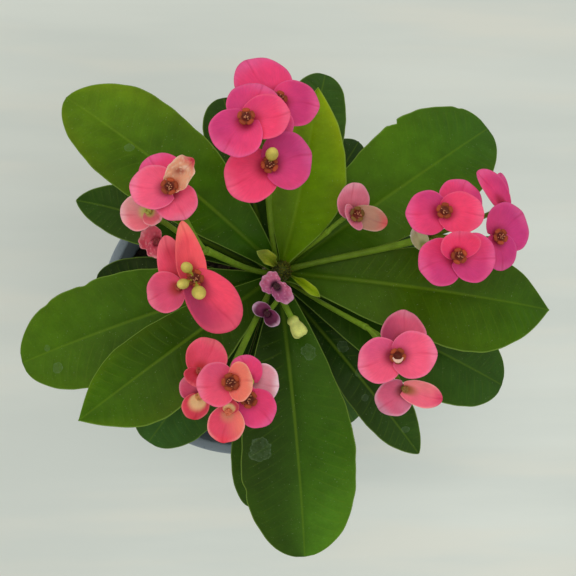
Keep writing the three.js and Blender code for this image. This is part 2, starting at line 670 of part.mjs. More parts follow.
function stalkCurve(stalk) {
  const leaving = heading(stalk.azimuth, stalk.slope);
  const stand = seatGap + rootShare * stalk.radius * Math.sin(radians(stalk.slope));
  const root = stemPoint(stalk.base, stalk.azimuth, stand);
  const fork = new THREE.Vector3(...stalk.fork);
  const arriving = heading(stalk.azimuth, Math.min(stalk.slope + upturn.more, upturn.most));
  const pull = root.distanceTo(fork) / 3;
  return new THREE.CubicBezierCurve3(
    root,
    root.clone().addScaledVector(leaving, pull),
    fork.clone().addScaledVector(arriving, -pull),
    fork,
  );
}

function closedBudParts(from, leaving) {
  const along = heading(closedBud.azimuth, closedBud.slope);
  const middle = new THREE.Vector3(...closedBud.at);
  const pull = from.distanceTo(middle) / 3;
  const curve = new THREE.CubicBezierCurve3(
    from,
    from.clone().addScaledVector(leaving, pull),
    middle.clone().addScaledVector(along, -pull),
    middle,
  );
  const points = curve.getPoints(closedBud.segments);
  const stalk = bar(points, points.map(() => closedBud.stalkRadius), closedBud.stalkSides);
  const purse = ball(...closedBud.size, closedBud.around, closedBud.upwards);
  return [stalk, set(purse, middle, along)];
}

function placedStalk(stalk) {
  const curve = stalkCurve(stalk);
  const points = curve.getPoints(stalkSegments);
  const leaving = curve.getTangent(1);
  const fork = points.at(-1).clone().addScaledVector(leaving, -forkSunk);
  const thickness = points.map(
    (_, k) => THREE.MathUtils.lerp(rootShare, 1, k / stalkSegments) * stalk.radius,
  );
  const parts = [bar(points, thickness, stalkSides)];
  for (const bloom of blooms.filter(({ name }) => name.startsWith(`bloom_${stalk.key}`))) {
    const facing = heading(bloom.towards, 90 - bloom.tip);
    const head = [cupGeometry(bloom), ...(bloom.buds ?? []).flatMap((row) => budParts(bloom, row))];
    parts.push(pedicelGeometry(fork, leaving, bloom));
    parts.push(...head.map((geometry) => set(geometry, new THREE.Vector3(...bloom.at), facing)));
  }
  if (closedBud.stalk === stalk.key) parts.push(...closedBudParts(fork, leaving));
  return named(`stalk_${stalk.key}`, geometryOf(joined(parts)), colours.stalk, 0.55);
}

// ---------------------------------------------------------------- stem with its thorns

// Points spread over every leaf and stalk, which the thorns keep clear of.
function obstacles() {
  const points = [];
  for (const leaf of leaves) {
    const place = new THREE.Matrix4().makeRotationZ(radians(leaf.azimuth));
    place.setPosition(stemPoint(leaf.base, leaf.azimuth, seatGap));
    points.push(...leafGridPoints(leaf, 30, 8).flat().map((point) => point.applyMatrix4(place)));
  }
  for (const stalk of stalks) points.push(...stalkCurve(stalk).getPoints(30));
  return points;
}

function thornGeometries() {
  const near = obstacles();
  const thorns = [];
  const scars = Math.floor((thorn.lastHeight - thorn.firstHeight) / thorn.scarSpacing);
  for (let k = 0; k <= scars; k += 1) {
    const height = thorn.firstHeight + k * thorn.scarSpacing;
    for (const sign of [-1, 1]) {
      const azimuth = k * thorn.divergence + sign * thorn.splay;
      const lift = thorn.lift + thorn.liftSpread * Math.sin(1.7 * k + 2 * sign);
      const outwards = heading(azimuth + (sign * thorn.splay) / 3, lift);
      const share = 0.5 + 0.5 * Math.sin(2.4 * k + sign);
      const reach = thorn.sunk + THREE.MathUtils.lerp(...thorn.length, share);
      const root = stemPoint(height, azimuth, -thorn.sunk);
      const line = new THREE.LineCurve3(root, root.clone().addScaledVector(outwards, reach));
      const isClear = (point) => near.every((other) => point.distanceTo(other) > thorn.clearOfLeaves);
      if (!line.getPoints(8).slice(2).every(isClear)) continue;
      const cone = new THREE.ConeGeometry(thorn.baseRadius, reach, thorn.sides);
      cone.rotateX(Math.PI / 2);
      cone.translate(0, 0, reach / 2);
      thorns.push(set(cone, root, outwards));
    }
  }
  return thorns;
}

function stemGeometry() {
  const points = stemCurve.getPoints(stemRings);
  const radii = points.map(({ z }) => stemAt(Math.min(z, stemLine.at(-1).at[2])).radius);
  return geometryOf(joined([bar(points, radii, stemSides), ...thornGeometries()]));
}

// ---------------------------------------------------------------- the whole plant

const group = new THREE.Group();
group.add(named('pot', potGeometry(), colours.pot, 0.5));
group.add(named('soil', soilGeometry(), colours.soil, 1));
group.add(named('stem', stemGeometry(), colours.bark, 0.8));
group.add(...leaves.map(placedLeaf));
group.add(...stalks.map(placedStalk));
group.add(...blooms.map(placedBloom));

export default group;
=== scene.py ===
import math
import bpy
import numpy as np
from mathutils import Matrix, Vector


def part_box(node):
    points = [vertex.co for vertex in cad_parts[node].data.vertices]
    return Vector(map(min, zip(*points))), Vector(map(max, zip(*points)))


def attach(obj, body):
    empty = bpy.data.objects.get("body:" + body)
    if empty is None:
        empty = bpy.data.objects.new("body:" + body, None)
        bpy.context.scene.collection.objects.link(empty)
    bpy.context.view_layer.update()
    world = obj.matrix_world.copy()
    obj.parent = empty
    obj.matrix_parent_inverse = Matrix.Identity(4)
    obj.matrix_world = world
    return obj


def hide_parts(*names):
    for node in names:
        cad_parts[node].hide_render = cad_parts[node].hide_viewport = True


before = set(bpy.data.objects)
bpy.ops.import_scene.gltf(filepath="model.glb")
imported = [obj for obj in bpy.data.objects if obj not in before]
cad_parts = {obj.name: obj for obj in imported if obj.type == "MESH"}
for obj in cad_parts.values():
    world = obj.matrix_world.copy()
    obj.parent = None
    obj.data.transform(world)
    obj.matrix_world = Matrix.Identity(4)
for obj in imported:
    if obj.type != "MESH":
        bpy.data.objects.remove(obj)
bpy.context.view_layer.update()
# lengths are in millimetres and angles in degrees, as in the part's source, apart from the lengths
# inside materials and those of the lights, which are in metres
mm = 0.001
print("frame loaded with", len(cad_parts), "nodes")


def heading(azimuth, slope=0.0):
    # unit vector from an azimuth round +Z and a slope above level
    a, s = np.broadcast_arrays(np.radians(azimuth), np.radians(slope))
    return np.stack([np.cos(a) * np.cos(s), np.sin(a) * np.cos(s), np.sin(s)], -1)


def beside(azimuth, radius, height):
    # a point at a radius from the Z axis
    return heading(azimuth) * radius + np.array([0, 0, height])


def circle(sides):
    # unit vectors at even steps round +Z
    return heading(np.linspace(0, 360, sides, endpoint=False))


def mix(low, high, share):
    # straight from low to high as share goes from 0 to 1
    return low + (high - low) * share


def fade(start, end, x):
    # 0 at start, 1 at end, with flat ends: 3s squared less 2s cubed
    s = np.clip((x - start) / (end - start), 0, 1)
    return s * s * (3 - 2 * s)


def bump(x, width):
    # bell curve, 1 at the middle
    return np.exp(-(x / width) ** 2)


def unit(v):
    return v / np.linalg.norm(v, axis=-1, keepdims=True)


def turnTo(direction):
    # smallest turn that takes +Z to a direction, for rows of points
    turn = Vector((0, 0, 1)).rotation_difference(Vector(direction))
    return np.array(turn.to_matrix()).T


def aboutZ(azimuth):
    # turn about +Z, for rows of points
    return np.array(Matrix.Rotation(math.radians(azimuth), 3, "Z")).T


def srgb(colour):
    # screen values of 0 to 255 as linear ones
    c = np.array(colour, float) / 255
    return np.where(c > 0.04045, ((c + 0.055) / 1.055) ** 2.4, c / 12.92)


def waves(points, size, seed, count=7):
    # smooth unevenness: the mean of a few sine waves in seeded directions, about -1 to 1
    rng = np.random.default_rng(seed)
    ways = unit(rng.normal(size=(count, 3))) * rng.uniform(0.6, 1.6, (count, 1)) * 2 * math.pi / size
    shifts = rng.uniform(0, 2 * math.pi, count)
    return np.sin(points @ ways.T + shifts).mean(-1) * 1.6


# shapes: a dictionary of points, faces and what is known at each point

def shapeOf(points, faces, tone, **values):
    points = points.reshape(-1, 3)
    count = len(points)
    shape = {"points": points, "faces": faces, "tone": np.broadcast_to(tone, (count, 3)).astype(float)}
    for key, value in values.items():
        shape[key] = np.ravel(value).astype(float)
    return shape


def outwards(shape):
    # turns the faces round where the cones that they make with the origin add up to less than nothing
    total = 0.0
    for faces in shape["faces"]:
        corners = shape["points"][faces]
        for k in range(1, faces.shape[1] - 1):
            total += np.einsum("ij,ij->", corners[:, 0], np.cross(corners[:, k], corners[:, k + 1]))
    if total < 0:
        shape["faces"] = [faces[:, ::-1] for faces in shape["faces"]]
    return shape


def moved(shape, turn=np.eye(3), to=(0, 0, 0)):
    # turned about the origin, then shifted
    return {**shape, "points": shape["points"] @ turn + np.asarray(to)}


def shell(top, under, tone, toneUnder, **values):
    # two grids of points, one under the other, sewn together round their edge
    rows, columns = top.shape[:2]
    count = rows * columns
    index = np.arange(count).reshape(rows, columns)
    upper = np.stack([index[:-1, :-1], index[1:, :-1], index[1:, 1:], index[:-1, 1:]], -1).reshape(-1, 4)
    edge = np.concatenate([index[:-1, 0], index[-1, :-1], index[:0:-1, -1], index[0, :0:-1]])
    after = np.roll(edge, -1)
    rim = np.stack([edge, edge + count, after + count, after], -1)
    faces = np.concatenate([upper, upper[:, ::-1] + count, rim])
    tones = np.concatenate([np.broadcast_to(t, top.shape).reshape(-1, 3) for t in (tone, toneUnder)])
    both = {key: [np.broadcast_to(value, top.shape[:2])] * 2 for key, value in values.items()}
    both["under"] = np.repeat([0.0, 1.0], count)
    return outwards(shapeOf(np.stack([top, under]), [faces], tones, **both))


def loft(rings, tone):
    # closed skin through rings of points, with a fan of faces at each end
    count, sides = rings.shape[:2]
    index = np.arange(count * sides).reshape(count, sides)
    after = np.roll(index, -1, 1)
    quads = np.stack([index[:-1], after[:-1], after[1:], index[1:]], -1).reshape(-1, 4)
    ends = [np.full(sides, count * sides + k) for k in (0, 1)]
    fans = [np.stack([after[0], index[0], ends[0]], -1), np.stack([index[-1], after[-1], ends[1]], -1)]

    def withMiddles(grid):
        # the rings' points, then the mean of the first ring and of the last
        return np.concatenate([grid.reshape(-1, 3), grid[[0, -1]].mean(1)])

    # the tone is one for all, one for each ring or one for each point
    tone = np.asarray(tone, float)
    tone = np.broadcast_to(tone if tone.ndim != 2 else tone[:, None], rings.shape)
    return outwards(shapeOf(withMiddles(rings), [quads, np.concatenate(fans)], withMiddles(tone)))


def tube(path, radii, sides, tone):
    # a circle carried along a path; the circle's first axis is the way the path bends least
    along = unit(np.gradient(path, axis=0))
    across = np.linalg.svd(along, full_matrices=False)[2][-1]
    side = unit(across - (along @ across)[:, None] * along)
    other = np.cross(along, side)
    c, s = circle(sides)[:, :2].T[..., None]
    circles = c * side[:, None] + s * other[:, None]
    return loft(path[:, None] + np.broadcast_to(radii, len(path))[:, None, None] * circles, tone)


def turned(profile, sides, tone):
    # a profile of (radius, height) points carried round the Z axis
    profile = np.asarray(profile, float)[:, None]
    return loft(profile[..., :1] * circle(sides) + profile[..., 1:] * np.array([0, 0, 1]), tone)


def egg(radii, tone, tip=0.0, around=16, upwards=10):
    # an ellipsoid, drawn out to a point at its top by tip
    slope = np.linspace(-math.pi / 2, math.pi / 2, upwards + 2)[1:-1]
    height = np.sin(slope) + tip * fade(0.3, 1, np.sin(slope))
    shape = turned(np.stack([np.cos(slope), height], -1), around, tone)
    return {**shape, "points": shape["points"] * np.asarray(radii)}


def bezier(a, b, c, d, count):
    # cubic curve from a to d, pulled towards b and then c
    t = np.linspace(0, 1, count)[:, None]
    return a * (1 - t) ** 3 + 3 * b * t * (1 - t) ** 2 + 3 * c * t * t * (1 - t) + d * t ** 3


def joined(shapes):
    # several shapes as one; a value that one of them lacks is 0 there
    start = np.cumsum([0] + [len(s["points"]) for s in shapes])
    whole = {"faces": [faces + first for s, first in zip(shapes, start) for faces in s["faces"]]}
    for key in sorted(set().union(*shapes) - {"faces"}):
        whole[key] = np.concatenate([s.get(key, np.zeros(len(s["points"]))) for s in shapes])
    return whole


def linked(name, data):
    thing = bpy.data.objects.new(name, data)
    bpy.context.collection.objects.link(thing)
    return thing


def meshOf(name, points, faces):
    # points in mm, and faces as index arrays, one for each number of corners
    mesh = bpy.data.meshes.new(name)
    mesh.from_pydata((points * mm).tolist(), [], [face for group in faces for face in group.tolist()])
    return mesh


def addPiece(name, shape, material, node):
    # one smooth mesh from a shape, with an attribute for each value known at its points
    mesh = meshOf(name, shape["points"], shape["faces"])
    mesh.shade_smooth()
    for key, value in shape.items():
        if key == "tone":
            layer = mesh.attributes.new(key, "FLOAT_COLOR", "POINT")
            layer.data.foreach_set("color", np.column_stack([value, np.ones(len(value))]).ravel())
        elif key not in ("points", "faces"):
            mesh.attributes.new(key, "FLOAT", "POINT").data.foreach_set("value", value.ravel())
    mesh.materials.append(material)
    piece = linked(name, mesh)
    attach(piece, "root")
    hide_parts(node)
    return piece


class Finish:
    # a material in the making, with short ways of adding nodes to it
    def __init__(self, name):
        self.material = bpy.data.materials.new(name)
        self.material.use_nodes = True
        self.tree = self.material.node_tree

    def put(self, node, inputs):
        # a socket's name has _ for each space, and i2 is the socket numbered 2
        for key, value in inputs.items():
            socket = node.inputs[int(key[1:]) if key[1:].isdigit() else key.replace("_", " ")]
            if isinstance(value, bpy.types.NodeSocket):
                self.tree.links.new(value, socket)
            else:
                socket.default_value = value

    def add(self, kind, output=0, settings=(), **inputs):
        node = self.tree.nodes.new("ShaderNode" + kind)
        for key, value in dict(settings).items():
            setattr(node, key, value)
        self.put(node, inputs)
        return node.outputs[output]

    def done(self, **inputs):
        self.put(self.tree.nodes["Principled BSDF"], inputs)
        return self.material

    def maths(self, operation, *values):
        inputs = {f"i{k}": value for k, value in enumerate(values)}
        return self.add("Math", 0, {"operation": operation}, **inputs)

    def times(self, *values):
        return self.maths("MULTIPLY", *values)

    def plus(self, *values):
        return self.maths("ADD", *values)

    def ranged(self, value, fromLow, fromHigh, toLow, toHigh, smooth=True):
        settings = {"interpolation_type": "SMOOTHSTEP" if smooth else "LINEAR"}
        return self.add("MapRange", 0, settings, Value=value, From_Min=fromLow, From_Max=fromHigh,
                        To_Min=toLow, To_Max=toHigh)

    def blended(self, factor, low, high, way="MIX"):
        # a colour that is written in numbers holds screen values
        low, high = ((*srgb(c), 1.0) if isinstance(c, tuple) else c for c in (low, high))
        return self.add("Mix", 2, {"data_type": "RGBA", "blend_type": way}, i0=factor, i6=low, i7=high)

    def scaled(self, colour, factor):
        return self.add("VectorMath", 0, {"operation": "SCALE"}, i0=colour, Scale=factor)

    def known(self, name, output=2):
        # an attribute of the mesh, as a number, or with output 0 as a colour
        return self.add("Attribute", output, {"attribute_name": name})

    def place(self):
        return self.add("TexCoord", 3)

    def grain(self, scale, detail, roughness=0.5, place=None):
        vector = place or self.place()
        return self.add("TexNoise", Vector=vector, Scale=scale, Detail=detail, Roughness=roughness)

    def mottled(self, scale, detail, low, high, smooth=False):
        # grain spread from a low value to a high one
        return self.ranged(self.grain(scale, detail), 0.3, 0.7, low, high, smooth)

    def bumps(self, strength, distance, height):
        return self.add("Bump", Strength=strength, Distance=distance, Height=height)


# the pot: a profile carried round the axis, with six holes in its floor

pot = {
    "height": 120, "rimRadius": 70, "rimWidth": 4.6, "rimDepth": 14, "collarStep": 2.2,
    "footRadius": 50, "wall": 2.4, "floor": 3, "bevel": 0.9, "sides": 160, "hollow": 0.8,
    "drainHoles": 6, "drainHoleRadius": 4, "drainHoleCircle": 30, "litRimHeights": (0.104, 0.1195),
    # the paler colour serves the plastic's mottle and the painted light on the band round the rim
    "colour": (118, 131, 139), "paleMottleAndRimLight": (138, 150, 156), "speck": (92, 101, 108),
}


def potFinish():
    f = Finish("bluegrey plastic")
    mottle = f.grain(45, 5, 0.6)
    specks = f.grain(900, 2)
    height = f.add("SeparateXYZ", 2, Vector=f.place())
    colour = f.blended(f.ranged(mottle, 0.35, 0.7, 0, 0.4), pot["colour"], pot["paleMottleAndRimLight"])
    # painted light: the band from just under the collar up over the rim is painted paler, as where the
    # rim's top catches the light
    colour = f.blended(f.ranged(height, *pot["litRimHeights"], 0, 0.55), colour, pot["paleMottleAndRimLight"])
    colour = f.blended(f.ranged(specks, 0.62, 0.72, 0, 0.5), colour, pot["speck"])
    return f.done(
        Base_Color=colour,
        Roughness=f.ranged(mottle, 0.3, 0.7, 0.38, 0.52),
        Normal=f.bumps(0.12, 0.0004, specks),
    )


def roundedProfile(corners, steps=5):
    # cuts each corner (radius, height, bevel) back by its bevel and fills it with a parabola
    corners = np.array(corners, float)
    places, bevels = corners[:, :2], corners[:, 2:]
    before = places + unit(np.roll(places, 1, 0) - places) * bevels
    after = places + unit(np.roll(places, -1, 0) - places) * bevels
    t = np.linspace(0, 1, steps)[None, :, None]
    curve = before[:, None] * (1 - t) ** 2 + 2 * places[:, None] * t * (1 - t) + after[:, None] * t * t
    return curve.reshape(-1, 2)


def makePot():
    p = pot
    foot, rim, height = p["footRadius"], p["rimRadius"], p["height"]
    under = rim - p["collarStep"]
    lip = height - p["rimDepth"]
    # out under the foot, up the wall and its collar, over the rim and down inside to the floor
    profile = roundedProfile([
        (1, p["hollow"], 0.01), (foot - 6, p["hollow"], 0.3), (foot - 5, 0, 0.3), (foot, 0, p["bevel"]),
        (mix(foot, under, 0.96), mix(0, lip, 0.96), 3), (under, lip, 0.5), (rim, lip, p["bevel"]),
        (rim - 0.3, height - 5, 2), (rim, height, 1.2), (rim - p["rimWidth"], height, 1.2),
        (foot - p["wall"], p["floor"], 1.5), (1, p["floor"], 0.01),
    ])
    shape = turned(profile, p["sides"], srgb(p["colour"]))
    piece = addPiece("pot_shell", shape, potFinish(), "pot")
    # the drain holes are cut with round bars that stand through the floor
    bar = turned([(p["drainHoleRadius"], k * p["floor"]) for k in (-1, 2)], 32, np.zeros(3))
    azimuths = np.arange(p["drainHoles"]) * 360 / p["drainHoles"]
    bars = joined([moved(bar, to=beside(azimuth, p["drainHoleCircle"], 0)) for azimuth in azimuths])
    mesh = meshOf("drain hole bars", bars["points"], bars["faces"])
    cutter = linked("drain hole bars", mesh)
    cut = piece.modifiers.new("drain holes", "BOOLEAN")
    cut.operation = "DIFFERENCE"
    cut.solver = "EXACT"
    cut.object = cutter
    whole = piece.data
    cutPiece = piece.evaluated_get(bpy.context.evaluated_depsgraph_get())
    piece.data = bpy.data.meshes.new_from_object(cutPiece)
    piece.data.name = "pot_shell"
    piece.modifiers.clear()
    bpy.data.meshes.remove(whole)
    bpy.data.objects.remove(cutter)
    bpy.data.meshes.remove(mesh)


makePot()
print("pot made")


# the stem: its middle line, shared by the leaves and stalks that grow from it

stem = {
    "line": [
        (6.0, 6.0, 72, 8.6), (6.0, 6.0, 104, 9.6), (7.0, 7.2, 122, 8.9), (8.8, 9.0, 145, 8.0),
        (10.8, 10.9, 168, 6.2), (12.0, 12.0, 185, 3.6), (12.3, 12.3, 191, 1.5),
    ],
    "around": 96, "rings": 150, "firstScar": 108, "lastScar": 184, "scarSpacing": 2.5, "divergence": 137.5,
    "tipScales": 64, "scaleHeights": (181, 190.8), "scaleFoot": (88, 106, 18), "scaleTip": (100, 92, 26),
    "bark": (118, 106, 84), "cracks": (44, 36, 22), "young": (62, 76, 12),
}
thorn = {
    "splay": 24, "length": (8, 13), "lift": 8, "liftSpread": 14, "radius": 1.15, "sunk": 2.2,
    "clearOfLeaves": 3.2, "colour": (96, 82, 66), "point": (60, 48, 40),
}
seatGap = 0.4


def stemAt(height):
    # middle line and radius at a height, by straight steps between the rows of the line
    line = np.array(stem["line"])
    return np.array([np.interp(height, line[:, 2], line[:, k]) for k in (0, 1, 3)])


def stemPoint(height, azimuth, stand):
    # a point that stands off the stem's skin, or lies inside it where stand is below 0
    x, y, radius = stemAt(height)
    return np.array([x, y, height]) + heading(azimuth) * (radius + stand)


# leaves: height on the stem, azimuth, length, width, slope at the base and at the tip, turn of the
# heading, turn about the midrib, fold, taper, lean, then the colours near the stem, at the middle and at
# the tip, and how much lighter the left half is painted than the right, seen from the stem, which is
# painted light and shade where the fold turns one half towards the light and the other away
# the greens in each row hold painted shade near the stem, where the blooms shade the leaf, and painted
# light at the tip, as well as the leaf's own colour
leafRows = [
    (187.5, 152, 13.5, 7, 60, 25, 0, 0, 35, 1, 0, (96, 100, 24), (130, 142, 36), (120, 128, 50), 0),
    (186, 320, 18.5, 5.6, 52, 10, 0, 0, 48, 0.9, 0, (108, 130, 16), (140, 164, 20), (128, 154, 24), 0),
    (184, 78, 74.5, 30, 36, -4, 4, 4, 10, 1, 0.2, (76, 108, 2), (88, 122, 1), (112, 136, 3), -0.16),
    (182, 140, 113.4, 40.5, 28, -20, 4, 5, 8, 0.6, 0.07, (40, 76, 3), (54, 88, 2), (82, 114, 6), -0.06),
    (180, 352.5, 117.3, 43, 26, -24, 0, -5, 8, 1.05, 0.12, (46, 76, 2), (54, 82, 1), (54, 90, 6), -0.08),
    (178.5, 217, 101, 35, 28, -18, 0, 4, 8, 1.05, -0.19, (38, 66, 1), (42, 70, 1), (60, 96, 6), -0.05),
    (177, 35.3, 112.6, 47, 24, -24, 0, -4, 8, 0.5, -0.06, (50, 84, 4), (66, 104, 8), (54, 90, 18), 0.05),
    (175, 275.5, 117.8, 48, 22, -24, 0, 0, 8, 0.55, 0, (34, 64, 3), (40, 72, 6), (60, 98, 18), 0.34),
    (172.5, 197.5, 111.5, 43, 20, -25, 4, 5, 7, 0.5, 0, (36, 68, 1), (54, 88, 3), (68, 102, 12), -0.05),
    (170, 335.5, 111.4, 41, 16, -28, 0, -4, 7, 0.5, 0, (34, 60, 8), (40, 72, 10), (44, 78, 16), 0),
    (167.5, 107.5, 81.8, 29, 16, -28, -4, 4, 7, 0.5, 0, (28, 54, 6), (32, 60, 8), (36, 64, 10), 0),
    (166, 310.5, 99, 23, 12, -28, 0, 6, 12, 0.8, 0, (16, 40, 4), (28, 56, 10), (42, 72, 16), 0.05),
    (163, 150.5, 92, 25, 12, -28, 16, -4, 7, 0.8, 0, (26, 52, 4), (36, 64, 6), (36, 66, 8), 0),
    (161, 75.5, 99, 30, 12, -28, 0, 4, 7, 0.5, 0, (32, 60, 10), (44, 74, 18), (48, 80, 22), 0),
    (159, 231.5, 86.5, 37, 8, -30, 3, -4, 7, 0.5, 0, (30, 58, 14), (44, 80, 26), (52, 88, 32), 0),
    (156, 265.3, 98.6, 22.5, 8, -30, 0, 5, 7, 0.6, 0, (32, 58, 8), (40, 70, 10), (46, 76, 14), 0),
    (154, 178, 75, 20, 4, -30, 0, 4, 7, 0.5, 0, (14, 36, 1), (14, 36, 1), (20, 42, 3), 0),
    (151.5, 18.5, 69.4, 26, 4, -30, -3, -5, 7, 0.5, 0, (24, 50, 6), (30, 56, 8), (32, 60, 10), 0),
    (149, 58, 82.4, 28, 2, -30, 0, 5, 7, 0.6, 0, (24, 50, 6), (30, 56, 8), (32, 60, 10), 0),
    (146, 304.5, 72.4, 30, 0, -34, 0, -5, 7, 0.5, 0, (24, 50, 6), (34, 64, 12), (64, 102, 42), 0),
]
leafKeys = ("base", "azimuth", "length", "width", "rise", "droop", "bow", "roll", "fold", "taper", "lean",
            "nearStem", "middle", "tip", "halves")
leaves = [{"number": k + 1, "widest": 0.66, **dict(zip(leafKeys, row))} for k, row in enumerate(leafRows)]
leaves[2]["widest"] = 0.45
youngLeaves = (1, 2, 3, 4, 6)

# small bites out of the edge: side, share of the length, depth as a share, width as a share
leafNicks = {
    5: [(1, 0.72, 0.03, 0.02)],
    7: [(1, 0.625, 0.05, 0.014), (1, 0.645, 0.09, 0.008), (1, 0.93, 0.05, 0.010)],
    8: [(-1, 0.71, 0.03, 0.02)],
    9: [(-1, 0.66, 0.05, 0.02), (-1, 0.82, 0.04, 0.02)],
}
# dried drops: place along and across in shares, radius in mm
leafDrops = {
    4: [(0.68, 0.1, 2.0)],
    8: [(0.26, 0.6, 3.4), (0.58, -0.66, 5.0)],
    9: [(0.62, 0.62, 3.0), (0.86, 0.45, 2.4), (0.88, -0.1, 1.5)],
    12: [(0.36, 0.30, 2.6), (0.50, 0.1, 2.2), (0.60, -0.35, 1.8), (0.85, 0.2, 1.8)],
}
# how uneven the green is, on leaves where it isn't the usual amount
patchiness = {4: 0.13, 8: 0.07}

leafShape = {
    "stations": 96, "columns": 47, "shoulder": 1.15, "stalkShare": 0.16, "foldSpan": 1.6,
    "waveHeight": 0.9, "waves": 2.3, "waveShift": 1.3, "thickness": 0.75, "edgeThickness": 0.25,
    "ribAtBase": 1.9, "ribAtTip": 0.3, "ribWidth": 1.5, "fullRibLength": 60, "groove": 0.35,
    "veinSpacing": 4.6, "veinLean": 0.62, "veinRelief": 0.30, "root": 2.4, "rootThickness": 1.1,
    "edgeUneven": 0.012, "broadWave": 0.35, "mottle": 0.09, "patchiness": 0.05,
}
leafPaint = {
    "under": (110, 130, 76), "yellowGain": (1.45, 1.2, 1.0), "yellowMore": (14, 14, 0),
    "vein": (104, 134, 30), "rib": (116, 146, 28), "margin": (128, 158, 64),
    "film": (140, 162, 132), "dust": (150, 166, 120),
}


def leafOutline(leaf, t):
    # half width as a share of the full half width: a sine up to the widest place, then a rounded end
    s = leafShape
    t = np.clip(t, 0, 1)
    grown = np.sin(np.pi / 2 * np.clip(t / leaf["widest"], 0, 1)) ** s["shoulder"]
    past = np.clip((t - leaf["widest"]) / (1 - leaf["widest"]), 0, 1)
    ended = (1 - past * past) ** leaf["taper"]
    return np.maximum(0.012, np.where(t < leaf["widest"], mix(s["stalkShare"], 1, grown), ended))


def leafEdge(leaf, t, side):
    # how the edge departs from the plain outline: slow unevenness and the bites
    k = leaf["number"]
    wobble = np.sin(17 * t + 2.1 * k + side) + 0.6 * np.sin(41 * t + 1.3 * k - 2 * side)
    wobble = leafShape["edgeUneven"] * (wobble + 0.3 * np.sin(83 * t + k))
    share = 1 + wobble * fade(0.1, 0.4, t) * (1 - 0.6 * fade(0.93, 1, t))
    for where, at, depth, width in leafNicks.get(k, ()):
        share = share - depth * bump(t - at, width) * (side == where)
    return share


def leafFrame(leaf, t):
    # the midrib's place at t, and the side and up axes there, with the leaf's roll
    steps = 240
    middle = (np.arange(steps) + 0.5) / steps
    ways = heading(leaf["bow"] * middle, mix(leaf["rise"], leaf["droop"], middle))
    path = np.vstack([np.zeros(3), np.cumsum(ways, 0)]) * leaf["length"] / steps
    at = np.linspace(0, 1, steps + 1)
    rib = np.stack([np.interp(t, at, path[:, k]) for k in range(3)], -1)
    rib = rib + np.minimum(t, 0)[:, None] * leaf["length"] * ways[0]
    flatSide = heading(leaf["bow"] * t + 90)
    flatUp = np.cross(heading(leaf["bow"] * t, mix(leaf["rise"], leaf["droop"], t)), flatSide)
    roll = np.radians(leaf["roll"] * t)[:, None]
    side = flatSide * np.cos(roll) + flatUp * np.sin(roll)
    return rib, side, flatUp * np.cos(roll) - flatSide * np.sin(roll)


def leafGrid(leaf, t, v, fine=False):
    # the blade's upper face: out from the midrib by v, lifted by the fold and by a wave along each edge
    s = leafShape
    rib, side, up = leafFrame(leaf, t)
    outline = leafOutline(leaf, t)[:, None]
    half = leaf["width"] / 2 * outline
    if fine:
        right, left = (leafEdge(leaf, t, way)[:, None] for way in (-1, 1))
        half = half * mix(1, np.where(v > 0, left, right), np.abs(v) ** 3)
    fold = np.radians(leaf["fold"] * (s["foldSpan"] - t))[:, None]
    wave = np.sin(2 * np.pi * s["waves"] * t[:, None] + leaf["azimuth"] + s["waveShift"] * (v > 0))
    lift = np.abs(v) * half * np.sin(fold) + s["waveHeight"] * wave * v * v * outline
    out = v * (1 - leaf["lean"] * v) * half
    points = rib[:, None] + side[:, None] * (out * np.cos(fold))[..., None] + up[:, None] * lift[..., None]
    return points, out, half, up


def placedLeaf(leaf, points):
    # from the leaf's own axes, with its foot at the origin, to its place on the stem
    return points @ aboutZ(leaf["azimuth"]) + stemPoint(leaf["base"], leaf["azimuth"], seatGap)


def dropDistance(leaf, t, across):
    # how far each point lies from the nearest dried drop, in that drop's radii, kept within 2
    place = np.stack(np.broadcast_arrays(t * leaf["length"], across), -1)
    found = np.full(across.shape, 2.0)
    for along, out, radius in leafDrops.get(leaf["number"], ()):
        centre = np.array([along * leaf["length"], out * leaf["width"] / 2 * leafOutline(leaf, along)])
        found = np.minimum(found, np.linalg.norm((place - centre) / radius, axis=-1))
    return found


def leafTone(leaf, points, t, v):
    # three greens along the blade, mottled, one half painted lighter as painted light, and more yellow
    # towards the edge
    mark = leaf["number"]
    near, middle, tip = (srgb(leaf[key]) for key in ("nearStem", "middle", "tip"))
    # the three greens are partly the leaf's own and partly painted shade and light: darker near the stem,
    # where the blooms shade the blade, lighter at the tip, which turns out to the light
    tone = mix(mix(near, middle, fade(0.05, 0.5, t)[..., None]), tip, fade(0.5, 0.98, t)[..., None])
    # painted light and shade: one half of the blade is painted lighter than the other, as where the fold
    # turns it to the light
    shade = 1 + 1.4 * leaf["halves"] * np.tanh(3 * v) + leafShape["mottle"] * waves(points, 38, mark)
    shade = shade + patchiness.get(mark, leafShape["patchiness"]) * waves(points, 12, 40 + mark)
    tone = tone * shade[..., None]
    yellow = (0.75 if mark in youngLeaves else 0.25) * fade(0.5, 1, np.abs(v)) * fade(0.2, 0.6, t)
    return mix(tone, tone * leafPaint["yellowGain"] + srgb(leafPaint["yellowMore"]), yellow[..., None])


